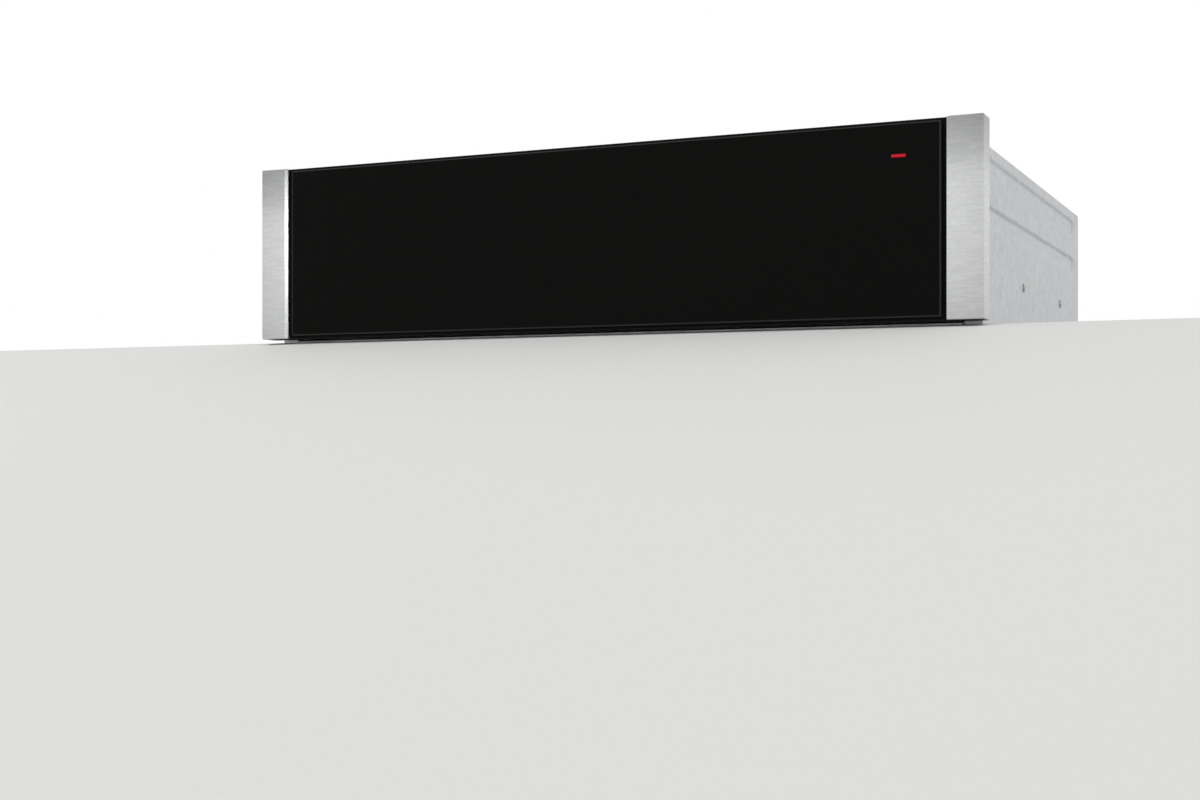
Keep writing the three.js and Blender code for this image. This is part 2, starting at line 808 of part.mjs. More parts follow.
function ejectorRod() {
  const yEnd = yCollar + collarLength;
  const rod = bar('y', [yRod, yEnd], [0, plungerHeight], plungerDiameter, 32);
  const collar = bar('y', [yCollar, yEnd], [0, plungerHeight], collarDiameter, 32);
  return joined(rod, collar);
}

function ejectorMagnet() {
  return bar('y', [yMagnet, yRod], [0, plungerHeight], magnetDiameter, 32);
}

// A compression spring between the collar and the chamber's end
function latchSpring() {
  const radius = (springDiameter - springWire) / 2;
  const start = yCollar + collarLength + springWire / 2 + fitGap;
  const end = yChamber[1] - springWire / 2 - fitGap;
  const points = [];
  const perTurn = 16;
  for (let i = 0; i <= springTurns * perTurn; i += 1) {
    const angle = (i / perTurn) * 2 * Math.PI;
    const y = start + ((end - start) * i) / (springTurns * perTurn);
    points.push(new THREE.Vector3(radius * Math.cos(angle), y, plungerHeight + radius * Math.sin(angle)));
  }
  const wire = new THREE.Shape();
  wire.absarc(0, 0, springWire / 2, 0, 2 * Math.PI);
  const path = new THREE.CatmullRomCurve3(points);
  return new THREE.ExtrudeGeometry(wire, { steps: springTurns * perTurn, extrudePath: path, curveSegments: 3 });
}

// ---- supply ----

const terminalSpanX = [terminalX - terminalWidth / 2, terminalX + terminalWidth / 2];
const terminalSpanZ = [terminalLift, terminalLift + terminalHeight];
const yTerminalBack = yRear + terminalDepth;
const glandHeight = terminalLift + terminalHeight * 0.6;

function terminalBox() {
  const y = [yRear, yTerminalBack - terminalWall];
  const box = span(terminalSpanX, y, terminalSpanZ);
  const inside = span(
    [terminalSpanX[0] + terminalWall, terminalSpanX[1] - terminalWall],
    [y[0] + terminalWall, y[1] + 1],
    [terminalSpanZ[0] + terminalWall, terminalSpanZ[1] - terminalWall],
  );
  const inletEnds = [terminalSpanX[1] - 2 * terminalWall, terminalSpanX[1] + 1];
  const inlet = bar('x', inletEnds, [yRear + terminalDepth / 2, glandHeight], glandBore);
  return cut(box, [inside, leadPassage([yRear - 1, yRear + 2 * terminalWall]), inlet]);
}

function terminalCover() {
  return span(terminalSpanX, [yTerminalBack - terminalWall, yTerminalBack], terminalSpanZ);
}

function terminalBlock() {
  const x = [terminalX - blockWidth / 2, terminalX + blockWidth / 2];
  const z = terminalSpanZ[1] - terminalWall - 6;
  const y = yRear + terminalWall;
  return span(x, [y, y + blockDepth], [z - blockHeight, z]);
}

// The inlet for the supply lead: a screwed collar with an open bore
function cableGland() {
  const step = glandLength * 0.4;
  const profile = [
    [glandBore / 2, 0],
    [glandDiameter / 2, 0],
    [glandDiameter / 2, step],
    [glandDiameter / 2 - 2, step],
    [glandDiameter / 2 - 3, glandLength],
    [glandBore / 2, glandLength],
    [glandBore / 2, 0],
  ].map(([radius, along]) => new THREE.Vector2(radius, along));
  const gland = new THREE.LatheGeometry(profile, 24);
  gland.rotateZ(-Math.PI / 2);
  gland.translate(terminalSpanX[1], yRear + terminalDepth / 2, glandHeight);
  return gland;
}

// The inner lead loops once up and back between the casing's rear and the drawer's,
// so that it can follow the drawer out
const rearLoop = [
  [-200, 266, 40], [-200, 254, 40], [-196, 240, 40], [-184, 230, 40], [-168, 227, 40],
  [-140, 227, 40], [-115, 227, 42], [-94, 227, 52], [-86, 227, 70], [-94, 227, 88],
  [-115, 227, 98], [-140, 227, 99], [-160, 226, 99],
];
const frontLoop = [
  [-160.3, 226, 99], [-185, 225, 97], [-210, 224, 88], [-226, 223, 64], [-214, 222, 38],
  [-192, 222, 26], [-165, 221, 24], [-138, 219, 24], [-118, 212, 24], [-107, 202, 24],
  [-104, 192, 24], [-104, 179.4, 24],
];

function lead(points, steps) {
  const path = new THREE.CatmullRomCurve3(points.map(([x, y, z]) => new THREE.Vector3(x, y, z)));
  const ring = new THREE.Shape();
  ring.absarc(0, 0, leadDiameter / 2, 0, 2 * Math.PI);
  return new THREE.ExtrudeGeometry(ring, { steps, extrudePath: path, curveSegments: 4 });
}

// ---- assembly ----

addPart('front_glass', frontGlass(), finishes.blackGlass);
addPart('front_carrier', frontCarrier(), finishes.blackCoat);
addPart('front_back_panel', frontBackPanel(), finishes.traySteel);
addPart('indicator_lens', indicatorLens(), finishes.redLens);
addPart('lamp_module', lampModule(), finishes.blackPlastic);

addPart('casing_floor', beadedPlate([0, casingSheet], 1), finishes.zincSheet);
addPart('casing_top', beadedPlate([casingHeight - casingSheet, casingHeight], -1), finishes.zincSheet);
addPart('casing_rear', casingRear(), finishes.zincSheet);
addPart('front_strip_top', frontStripTop(), finishes.blackCoat);
addPart('front_strip_bottom', frontStripBottom(), finishes.blackCoat);

addPart('tray_rear', trayRear(), finishes.traySteel);
addPart('base_pan', basePan(), finishes.zincSheet);
addPart('deck_frame', deckFrame(), finishes.traySteel);
addPart('warming_plate', warmingPlate(), finishes.plateGlass);
addPart('heat_spreader', heatSpreader(), finishes.aluminium);
addPart('heating_element', heatingElement(), finishes.heaterSheath);
addPart('insulation_mat', insulationMat(), finishes.insulation);
addPart('temperature_limiter', temperatureLimiter(), finishes.ceramic);
addPart('junction_block', junctionBlock(), finishes.ceramic);
addPart('control_panel', controlPanel(), finishes.traySteel);
addPart('control_housing', controlHousing(), finishes.blackPlastic);
addPart('selector_switch', selectorSwitch(), finishes.greyPlastic);
addPart('selector_spindle', selectorSpindle(), finishes.springSteel);
addPart('selector_knob', selectorKnob(), finishes.blackPlastic);

for (const side of ['left', 'right']) {
  addPart(`trim_${side}`, onSide(side, frontTrim()), finishes.brushedSteel);
  addPart(`casing_side_${side}`, onSide(side, casingSide()), finishes.zincSheet);
  addPart(`tray_side_${side}`, onSide(side, traySide()), finishes.traySteel);
  addPart(`front_bracket_${side}`, onSide(side, frontBracket()), finishes.zincSheet);
  addPart(`cabinet_slide_${side}`, onSide(side, cabinetSlide()), finishes.zincSheet);
  addPart(`middle_slide_${side}`, onSide(side, middleSlide()), finishes.zincSheet);
  addPart(`drawer_slide_${side}`, onSide(side, drawerSlide()), finishes.zincSheet);
  addPart(`outer_cage_${side}`, onSide(side, outerCage()), finishes.springSteel);
  addPart(`inner_cage_${side}`, onSide(side, innerCage()), finishes.springSteel);
}

addPart('striker_plate', strikerPlate(), finishes.zincSheet);
addPart('latch_housing', latchHousing(), finishes.blackPlastic);
addPart('ejector_rod', ejectorRod(), finishes.greyPlastic);
addPart('ejector_magnet', ejectorMagnet(), finishes.magnet);
addPart('latch_spring', latchSpring(), finishes.springSteel);
addPart('terminal_box', terminalBox(), finishes.blackPlastic);
addPart('terminal_cover', terminalCover(), finishes.blackPlastic);
addPart('terminal_block', terminalBlock(), finishes.ceramic);
addPart('cable_gland', cableGland(), finishes.blackPlastic);
addPart('lead_rear', lead(rearLoop, 30), finishes.leadSheath);
addPart('lead_front', lead(frontLoop, 30), finishes.leadSheath);

export default model;
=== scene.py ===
# Looks of the built-in warming drawer, in metres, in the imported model's own frame
import json
import math

import bmesh
import bpy
import numpy as np
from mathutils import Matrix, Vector


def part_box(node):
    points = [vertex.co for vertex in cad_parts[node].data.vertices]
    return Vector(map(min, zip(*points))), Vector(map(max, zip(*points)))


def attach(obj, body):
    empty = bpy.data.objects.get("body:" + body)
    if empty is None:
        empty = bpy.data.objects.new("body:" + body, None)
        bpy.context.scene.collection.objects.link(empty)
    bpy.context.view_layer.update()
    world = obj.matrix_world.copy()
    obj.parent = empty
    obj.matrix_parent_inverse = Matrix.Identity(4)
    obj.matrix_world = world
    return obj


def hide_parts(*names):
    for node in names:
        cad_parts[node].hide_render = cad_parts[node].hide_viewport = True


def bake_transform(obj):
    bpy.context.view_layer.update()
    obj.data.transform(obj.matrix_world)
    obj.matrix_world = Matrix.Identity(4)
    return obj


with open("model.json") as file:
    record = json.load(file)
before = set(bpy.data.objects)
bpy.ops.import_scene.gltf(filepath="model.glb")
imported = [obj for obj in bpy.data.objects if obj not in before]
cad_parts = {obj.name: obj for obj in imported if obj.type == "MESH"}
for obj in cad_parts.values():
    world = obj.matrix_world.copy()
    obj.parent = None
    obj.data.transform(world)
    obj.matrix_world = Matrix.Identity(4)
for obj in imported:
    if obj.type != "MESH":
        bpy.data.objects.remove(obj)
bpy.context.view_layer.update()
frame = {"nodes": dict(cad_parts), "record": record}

nodes = frame["nodes"]
mm = 0.001
bothSides = ("left", "right")
bodyOfNode = {n: body for body, members in frame["record"]["behaviour"]["bodies"].items() for n in members}
print("frame loaded:", len(nodes), "nodes")


# Sizes are written in mm and kept in metres
def inMetres(**sizes):
    return {label: np.multiply(size, mm) for label, size in sizes.items()}


def addObject(name, data):
    made = bpy.data.objects.new(name, data)
    bpy.context.scene.collection.objects.link(made)
    return made


# Each input takes a value, or a link from another node's output
def setInputs(tree, node, inputs):
    for socket, value in inputs.items():
        if isinstance(value, bpy.types.NodeSocket):
            tree.links.new(value, node.inputs[socket])
        else:
            node.inputs[socket].default_value = value


def addNode(tree, kind, inputs=None, **settings):
    node = tree.nodes.new("ShaderNode" + kind)
    for name, value in settings.items():
        setattr(node, name, value)
    setInputs(tree, node, inputs or {})
    return node


def maths(tree, operation, *values):
    return addNode(tree, "Math", dict(enumerate(values)), operation=operation).outputs[0]


def vectorMaths(tree, operation, *values):
    return addNode(tree, "VectorMath", dict(enumerate(values)), operation=operation).outputs[0]


# A value between two limits becomes one between low and high
def ramp(tree, value, start, end, low, high, easing="LINEAR"):
    limits = {"From Min": start, "From Max": end, "To Min": low, "To Max": high}
    return addNode(tree, "MapRange", {"Value": value, **limits}, interpolation_type=easing).outputs[0]


# A colour times one or more shades
def shaded(tree, colour, *shades):
    current = (*colour, 1) if isinstance(colour, tuple) else colour
    for shade in shades:
        mix = addNode(tree, "Mix", {0: 1, 6: current, 7: shade}, data_type="RGBA", blend_type="MULTIPLY")
        current = mix.outputs[2]
    return current


def noise(tree, place, scale, detail):
    return addNode(tree, "TexNoise", {"Vector": place, "Scale": scale, "Detail": detail}).outputs


def objectPlace(tree):
    return addNode(tree, "TexCoord").outputs["Object"]


def splitPlace(tree):
    return addNode(tree, "SeparateXYZ", {0: objectPlace(tree)}).outputs


camera = {"place": (0.52625, -1.41429, -0.07666), "turn": 24.5455, "lens": 49.51, "shiftUp": 0.0286}


def makeCamera():
    lens = bpy.data.cameras.new("photoCamera")
    lens.sensor_width = 36
    lens.lens = camera["lens"]
    lens.shift_y = camera["shiftUp"]
    lens.clip_start = 0.01
    viewer = addObject("photoCamera", lens)
    viewer.location = camera["place"]
    viewer.rotation_euler = (math.pi / 2, 0, math.radians(camera["turn"]))
    bpy.context.scene.camera = viewer


makeCamera()

studio = {
    "worldLight": 0.66, "backgroundWhite": 1.0, "overheadGlow": 0.55, "glowHeights": (0.15, 0.9),
    "crest": -0.2605, "fall": 0.36, "fallLength": 1.6, "softStart": 0.02, "reach": 9.0, "aheadSteps": 60,
    "behindSteps": 10, "acrossSteps": 9, "whiteReach": (1.5, 3.6), "paleFloor": (0.78, 0.78, 0.77),
}
# Each lamp's place and target, then its size, power and spread
lamps = {
    "keyLamp": ((-0.9, -1.5, 2.3), (0, 0, 0.05), 2.4, 22.0, 180),
    "fillLamp": ((1.9, -1.2, 1.5), (0, 0, 0.05), 1.2, 6.0, 180),
    "edgeLamp": ((0.09, -2.66, 0.44), (-0.275, -0.285, 0.07), 0.32, 0.027, 16),
}


# Plain light from all around. The eye sees white, and gloss sees white that greys overhead
def makeWorld():
    world = bpy.data.worlds.new("studioWorld")
    bpy.context.scene.world = world
    world.use_nodes = True
    tree = world.node_tree
    path = addNode(tree, "LightPath").outputs
    around = addNode(tree, "TexCoord").outputs["Generated"]
    upward = addNode(tree, "SeparateXYZ", {0: around}).outputs[2]
    white = studio["backgroundWhite"]
    overhead = ramp(tree, upward, *studio["glowHeights"], white, studio["overheadGlow"], "SMOOTHSTEP")
    glossy = maths(tree, "MAXIMUM", path["Is Glossy Ray"], path["Is Transmission Ray"])
    level = addNode(tree, "Mix", {0: glossy, 2: studio["worldLight"], 3: overhead}).outputs[0]
    shown = addNode(tree, "Mix", {0: path["Is Camera Ray"], 2: level, 3: white}).outputs[0]
    setInputs(tree, tree.nodes["Background"], {"Color": (1, 1, 1, 1), "Strength": shown})


def addSoftLamp(name, place, target, size, power, spread):
    lamp = bpy.data.lights.new(name, "AREA")
    lamp.shape = "DISK"
    lamp.size = size
    lamp.energy = power
    lamp.spread = math.radians(spread)
    holder = addObject(name, lamp)
    holder.location = place
    holder.rotation_euler = (Vector(target) - Vector(place)).to_track_quat("-Z", "Y").to_euler()


makeWorld()
for lampName, lampValues in lamps.items():
    addSoftLamp(lampName, *lampValues)


# Quads between neighbouring points of a grid that is stored row by row
def gridFaces(rows, columns, closeRows=False, closeColumns=False):
    row, column = np.indices((rows - 1 + closeRows, columns - 1 + closeColumns))
    nextRow = (row + 1) % rows * columns
    nextColumn = (column + 1) % columns
    row = row * columns
    corners = [row + column, row + nextColumn, nextRow + nextColumn, nextRow + column]
    return np.stack(corners, -1).reshape(-1, 4)


# Quads between closed rings, with a flat cap on the first ring and on the last
def cappedFaces(rings, count):
    faces = list(gridFaces(rings, count, closeColumns=True))
    faces.append(list(range(count))[::-1])
    faces.append(list(range((rings - 1) * count, rings * count)))
    return faces


# Points given on a face of the appliance: u and v lie in the face and w stands out of it
def placeOn(face, u, v, w):
    u, v, w = np.broadcast_arrays(u, v, w)
    axes = {"top": (u, v, w), "front": (u, -w, v), "rear": (u, w, v), "right": (w, u, v), "left": (-w, u, v)}
    return np.stack(axes[face], -1)


# Doubles are merged, slivers or the seams of flat faces dissolved, and faces turned outwards
def finishMesh(name, mesh, materials, reach, flatAngle=None):
    shape = bmesh.new()
    shape.from_mesh(mesh)
    bmesh.ops.remove_doubles(shape, verts=shape.verts, dist=reach)
    if flatAngle:
        limit = math.radians(flatAngle)
        bmesh.ops.dissolve_limit(shape, angle_limit=limit, verts=shape.verts, edges=shape.edges)
    else:
        bmesh.ops.dissolve_degenerate(shape, edges=shape.edges, dist=reach / 10)
    bmesh.ops.recalc_face_normals(shape, faces=shape.faces)
    shape.to_mesh(mesh)
    shape.free()
    mesh.materials.clear()
    for material in materials:
        mesh.materials.append(bpy.data.materials[material])
    mesh.shade_smooth()
    return addObject(name, mesh)


def addMesh(name, shape, *materials, sharpAngle=32):
    points, faces = shape
    mesh = bpy.data.meshes.new(name)
    mesh.from_pydata(np.reshape(points, (-1, 3)), [], faces)
    piece = finishMesh(name, mesh, materials, 1e-7)
    mesh.set_sharp_from_angle(angle=math.radians(sharpAngle))
    return piece


def fitPiece(piece, body):
    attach(piece, body)


# The piece takes the place and the body of a CAD node, and the node is hidden
def standFor(node, piece):
    fitPiece(piece, bodyOfNode[node])
    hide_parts(node)


# The piece stands in for a CAD node that stretches between two bodies: the node is hidden and the piece's
# place is baked into its points
def stretchFor(node, piece):
    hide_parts(node)
    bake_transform(piece)


# A CAD node keeps its shape and gets its finish
def finishNode(node, material):
    nodes[node].data.materials.clear()
    nodes[node].data.materials.append(bpy.data.materials[material])


rounding = {"mergeReach": 2e-6, "flatAngle": 1, "sharpFrom": 28}


# A CAD node's shape with its edges rounded by a radius in mm
def softened(node, material, radius, segments=2, edgeMaterial=None):
    first, *others = node.split("_")
    name = first + "".join(word.capitalize() for word in others)
    mesh = nodes[node].data.copy()
    mesh.name = name
    materials = [material, edgeMaterial] if edgeMaterial else [material]
    piece = finishMesh(name, mesh, materials, rounding["mergeReach"], rounding["flatAngle"])
    bevel = piece.modifiers.new("edges", "BEVEL")
    bevel.width = radius * mm
    bevel.segments = segments
    bevel.limit_method = "ANGLE"
    bevel.angle_limit = math.radians(rounding["sharpFrom"])
    if edgeMaterial:
        bevel.material = 1
    flat = piece.modifiers.new("flatFaces", "WEIGHTED_NORMAL")
    flat.weight = 100
    flat.keep_sharp = True
    standFor(node, piece)


# Outline of a rectangle with round corners: each corner is an arc about its own centre
def roundedOutline(low, high, radius, steps):
    quarter = np.linspace(0, math.pi / 2, steps)
    angles = np.concatenate([quarter + k * math.pi / 2 for k in range(4)])
    centreU = np.repeat([high[0] - radius, low[0] + radius, low[0] + radius, high[0] - radius], steps)
    centreV = np.repeat([high[1] - radius, high[1] - radius, low[1] + radius, low[1] + radius], steps)
    return centreU, centreV, angles


# Points at a reach from their centres in an outline's directions, w out of the face
def ringPoints(face, outline, reach, w):
    centreU, centreV, angles = outline
    return placeOn(face, centreU + reach * np.cos(angles), centreV + reach * np.sin(angles), w)


# A flat slab whose edge follows (inset, height) steps from its lower face to its upper one
def roundedSlab(face, low, high, radius, edge, steps=6):
    inset, height = np.array(edge, float).T[:, :, None]
    reach = np.maximum(radius - inset, 1e-6)
    points = ringPoints(face, roundedOutline(low, high, radius, steps), reach, height)
    return points, cappedFaces(len(edge), 4 * steps)


# A profile of (radius, height) steps turned about an axis that stands out of the face
def turned(face, centre, profile, steps, ripple=None):
    reach, height = np.array(profile, float).T[:, :, None]
    angle = np.linspace(0, 2 * math.pi, steps, endpoint=False)
    if ripple:
        reach = reach * ripple(angle, np.arange(len(profile))[:, None])
    points = ringPoints(face, (*centre, angle), reach, height)
    return points, gridFaces(len(profile), steps, closeColumns=True)


# Several meshes as one: points stacked, faces shifted by the points before them
def merged(shapes):
    points, faces, offset = [], [], 0
    for shapePoints, shapeFaces in shapes:
        points.append(np.reshape(shapePoints, (-1, 3)))
        faces += [np.add(face, offset) for face in shapeFaces]
        offset += len(points[-1])
    return np.concatenate(points), faces


# Rings of points round a path, each square to it, carried along without twist
def tube(path, radius, count):
    along = np.gradient(path, axis=0)
    along /= np.linalg.norm(along, axis=1)[:, None]
    side = np.cross(along[0], (0.3, 0.2, 0.93))
    sideways = []
    for direction in along:
        side = side - direction * (side @ direction)
        side = side / np.linalg.norm(side)
        sideways.append(side)
    sideways = np.array(sideways)
    upward = np.cross(along, sideways)
    angle = np.linspace(0, 2 * math.pi, count, endpoint=False)[None, :, None]
    ring = np.cos(angle) * sideways[:, None] + np.sin(angle) * upward[:, None]
    return path[:, None] + radius * ring, cappedFaces(len(path), count)


# A curve through the points: on each stretch a cubic whose slopes come from the neighbours
def smoothPath(points, perStretch):
    padded = np.concatenate([[2 * points[0] - points[1]], points, [2 * points[-1] - points[-2]]])
    t = np.linspace(0, 1, perStretch, endpoint=False)[None, :, None]
    a, b, c, d = (p[:, None] for p in (padded[:-3], padded[1:-2], padded[2:-1], padded[3:]))
    square, cube = 2 * a - 5 * b + 4 * c - d, 3 * b - a - 3 * c + d
    curve = 0.5 * (2 * b + (c - a) * t + square * t ** 2 + cube * t ** 3)
    return np.concatenate([curve.reshape(-1, 3), points[-1:]])


# Grid lines at a coarse step, with fine ones within reach of the places that need them
def detailLines(low, high, coarse, spots, reach, fine):
    lines = [np.arange(low, high, coarse), [high]]
    lines += [np.arange(max(low, spot - reach), min(high, spot + reach), fine) for spot in spots]
    return np.unique(np.round(np.concatenate(lines), 6))


# Two layers of one grid, closed by walls along every edge that only one kept cell uses
def closedSheet(outer, inner, keep=None):
    rows, columns = outer.shape[:2]
    count = rows * columns
    quads = gridFaces(rows, columns)
    if keep is not None:
        quads = quads[keep.ravel()]
    start, end = quads, np.roll(quads, -1, 1)
    alone = ~np.isin(end * count + start, start * count + end)
    walls = np.stack([end[alone], start[alone], start[alone] + count, end[alone] + count], -1)
    faces = np.concatenate([quads, quads[:, ::-1] + count, walls])
    used, faces = np.unique(faces, return_inverse=True)
    points = np.concatenate([outer.reshape(-1, 3), inner.reshape(-1, 3)])[used]
    return points, faces.reshape(-1, 4)


# Squares of grid points round a hole's centre are drawn in to circles, less so further out
def roundHoles(u, v, holes, radius, reach):
    keep = np.ones((u.shape[0] - 1, u.shape[1] - 1), bool)
    for centreU, centreV in holes:
        du, dv = u - centreU, v - centreV
        square = np.maximum(np.abs(du), np.abs(dv))
        circle = np.maximum(np.hypot(du, dv), 1e-9)
        middle = [(d[:-1, :-1] + d[1:, 1:]) / 2 for d in (du, dv)]
        keep &= np.maximum(np.abs(middle[0]), np.abs(middle[1])) > radius
        scale = 1 + np.clip((reach - square) / (reach - radius), 0, 1) * (square / circle - 1)
        u, v = centreU + du * scale, centreV + dv * scale
    return u, v, keep


# 1 inside a long bead with round ends, falling to 0 over its flank as 3 x squared less 2 x cubed
def beadShape(u, v, centre, ends, half, flank):
    nearest = np.clip(v, ends[0] + half, ends[1] - half)
    x = np.clip((half - np.hypot(u - centre, v - nearest)) / flank, 0, 1)
    return x * x * (3 - 2 * x)


def addSocket(group, label, way, holdsVector):
    kind = "NodeSocketVector" if holdsVector else "NodeSocketFloat"
    return group.interface.new_socket(name=label, in_out=way, socket_type=kind)


# A group whose inputs take their kinds from their first values
def newGroup(name, **inputs):
    group = bpy.data.node_groups.new(name, "ShaderNodeTree")
    for label, value in inputs.items():
        addSocket(group, label, "INPUT", isinstance(value, tuple)).default_value = value
    return group, group.nodes.new("NodeGroupInput").outputs, objectPlace(group)


def giveOut(group, **results):
    for label, socket in results.items():
        addSocket(group, label, "OUTPUT", socket.type == "VECTOR")
    setInputs(group, group.nodes.new("NodeGroupOutput"), results)


# Rolled or brushed lines: noise stretched along the grain, coarse and fine
def makeBrushedGroup():
    group, given, place = newGroup("brushedGrain", Stretch=(10, 900, 900), Contrast=0.1)
    scaled = vectorMaths(group, "MULTIPLY", place, given["Stretch"])
    lines = maths(group, "ADD", noise(group, scaled, 1.0, 2.0)[0], noise(group, scaled, 4.3, 3.0)[0])
    centred = maths(group, "SUBTRACT", lines, 1.0)
    shade = maths(group, "MULTIPLY_ADD", centred, given["Contrast"], 1.0)
    giveOut(group, Shade=shade, Height=centred)


# Slow cloudy changes, as handling and dust leave them
def makeSmudgeGroup():
    group, given, place = newGroup("smudges", Scale=12.0, Contrast=0.06)
    cloud = noise(group, place, given["Scale"], 2.5)[0]
    mask = ramp(group, cloud, 0.25, 0.75, 0, 1, "SMOOTHSTEP")
    shade = maths(group, "MULTIPLY_ADD", maths(group, "SUBTRACT", cloud, 0.5), given["Contrast"], 1.0)
    giveOut(group, Shade=shade, Mask=mask)


# The crystal flakes of a zinc coating: each cell has one shade and leans a little its own way
def makeSpangleGroup():
    group, given, place = newGroup("zincSpangle", Scale=90.0, Contrast=0.2, Lean=0.1)
    bend = noise(group, place, 260.0, 3.0)["Color"]
    moved = vectorMaths(group, "MULTIPLY_ADD", bend, (0.004, 0.004, 0.004), place)
    cell = addNode(group, "TexVoronoi", {"Vector": moved, "Scale": given["Scale"]}).outputs["Color"]
    split = addNode(group, "SeparateColor", {0: cell}).outputs
    shade = maths(group, "MULTIPLY_ADD", maths(group, "SUBTRACT", split[0], 0.5), given["Contrast"], 1.0)
    away = vectorMaths(group, "SUBTRACT", cell, (0.5, 0.5, 0.5))
    push = addNode(group, "VectorMath", {0: away, "Scale": given["Lean"]}, operation="SCALE").outputs[0]
    surface = addNode(group, "NewGeometry").outputs["Normal"]
    leaned = vectorMaths(group, "NORMALIZE", vectorMaths(group, "ADD", surface, push))
    giveOut(group, Shade=shade, Flake=split[1], Normal=leaned)


# The small pits and peaks of a coated or moulded surface
def makeGrainGroup():
    group, given, place = newGroup("surfaceGrain", Scale=1500.0)
    giveOut(group, Height=noise(group, place, given["Scale"], 2.0)[0])


makeBrushedGroup()
makeSmudgeGroup()
makeSpangleGroup()
makeGrainGroup()


def useGroup(tree, group, **values):
    return addNode(tree, "Group", values, node_tree=bpy.data.node_groups[group]).outputs


def bumped(tree, height, strength, distance):
    return addNode(tree, "Bump", {"Height": height, "Strength": strength, "Distance": distance}).outputs[0]


def newMaterial(name):
    material = bpy.data.materials.new(name)
    material.use_nodes = True
    return material.node_tree, material.node_tree.nodes["Principled BSDF"]


# Pattern and smudges shade the colour, and the flakes, or else the smudges, vary the roughness
def newFinish(name, colour, roughness, smudges, pattern, **given):
    tree, shader = newMaterial(name)
    own = useGroup(tree, pattern, **given) if pattern else {}
    cloud = useGroup(tree, "smudges", Scale=smudges[0], Contrast=smudges[1])
    shades = [group["Shade"] for group in (own, cloud) if "Shade" in group]
    mask = own["Flake"] if "Flake" in own else cloud["Mask"]
    look = {"Base Color": shaded(tree, colour, *shades), "Roughness": ramp(tree, mask, 0, 1, *roughness)}
    setInputs(tree, shader, look)
    return tree, shader, own


def brushedMetal(name, colour, stretch, contrast, roughness, bump):
    given = {"Stretch": stretch, "Contrast": contrast}
    tree, shader, grain = newFinish(name, colour, roughness, (14.0, 0.08), "brushedGrain", **given)
    setInputs(tree, shader, {"Metallic": 1.0, "Normal": bumped(tree, grain["Height"], bump, 0.00004)})


# Painted shade over the height: the colour darkens towards both ends, as the steps say, and darkens a little
# towards the outer side
def fadeByHeight(material, steps, across):
    tree = bpy.data.materials[material].node_tree
    shader = tree.nodes["Principled BSDF"]
    split = splitPlace(tree)
    low, high = steps[0][0], steps[-1][0]
    curve = addNode(tree, "FloatCurve", {"Value": ramp(tree, split[2], low, high, 0, 1)})
    points = curve.mapping.curves[0].points
    points[0].location = (0, steps[0][1])
    points[1].location = (1, steps[-1][1])
    for height, level in steps[1:-1]:
        points.new((height - low) / (high - low), level)
    curve.mapping.update()
    outward = ramp(tree, maths(tree, "ABSOLUTE", split[0]), across[0], across[1], 1, across[2])
    fade = maths(tree, "MULTIPLY", curve.outputs[0], outward)
    colour = shader.inputs["Base Color"].links[0].from_socket
    setInputs(tree, shader, {"Base Color": shaded(tree, colour, fade)})


def zincCoated(name, colour, flakeScale, flakeContrast, lean, roughness):
    given = {"Scale": flakeScale, "Contrast": flakeContrast, "Lean": lean}
    tree, shader, flakes = newFinish(name, colour, roughness, (9.0, 0.1), "zincSpangle", **given)
    setInputs(tree, shader, {"Metallic": 0.95, "Normal": flakes["Normal"]})


def coated(name, colour, grainScale, roughness, bump, specular=0.5):
    given = {"Scale": grainScale}
    tree, shader, grain = newFinish(name, colour, roughness, (16.0, 0.18), "surfaceGrain", **given)
    normal = bumped(tree, grain["Height"], bump, 0.0001)
    setInputs(tree, shader, {"Specular IOR Level": specular, "Normal": normal})


def polishedGlass(name, colour, specular, roughness):
    tree, shader = newFinish(name, colour, roughness, (7.0, 0.1), None)[:2]
    setInputs(tree, shader, {"Specular IOR Level": specular})


brushedMetal("trimSteel", (0.675, 0.68, 0.68), (70, 70, 620), 0.36, (0.28, 0.36), 0.35)
# Painted shade on the trim's steel: darker towards both ends and towards its outer side
trimPaintedShade = [(0.002, 0.835), (0.045, 0.955), (0.080, 1.0), (0.098, 0.975), (0.118, 0.75), (0.142, 0.53)]
fadeByHeight("trimSteel", trimPaintedShade, (0.274, 0.2975, 0.9))
brushedMetal("traySteelAcross", (0.56, 0.56, 0.55), (10, 1300, 1300), 0.12, (0.26, 0.34), 0.3)
brushedMetal("traySteelAlong", (0.56, 0.56, 0.55), (1300, 10, 1300), 0.12, (0.26, 0.34), 0.3)
brushedMetal("drawnSteel", (0.52, 0.53, 0.54), (900, 16, 900), 0.12, (0.25, 0.36), 0.2)
brushedMetal("screwSteel", (0.48, 0.48, 0.47), (700, 700, 700), 0.08, (0.28, 0.36), 0.1)
brushedMetal("rolledAluminium", (0.80, 0.80, 0.81), (900, 12, 900), 0.1, (0.32, 0.42), 0.2)
brushedMetal("heaterSheath", (0.20, 0.19, 0.18), (300, 300, 300), 0.2, (0.42, 0.55), 0.2)
brushedMetal("magnetSteel", (0.24, 0.24, 0.25), (500, 500, 500), 0.1, (0.3, 0.42), 0.1)
zincCoated("zincSheet", (0.52, 0.535, 0.545), 190, 0.11, 0.05, (0.36, 0.44))
zincCoated("zincSlide", (0.60, 0.61, 0.615), 420, 0.04, 0.02, (0.26, 0.32))
coated("blackCoat", (0.004, 0.004, 0.004), 1800, (0.45, 0.55), 0.35, 0.06)
# Paler grey for rounded edges: a painted highlight along them
coated("thinCoat", (0.030, 0.030, 0.029), 1800, (0.4, 0.5), 0.2, 0.2)
coated("blackPlastic", (0.022, 0.022, 0.024), 1400, (0.42, 0.55), 0.3)
coated("greyPlastic", (0.22, 0.23, 0.24), 1400, (0.4, 0.5), 0.2)
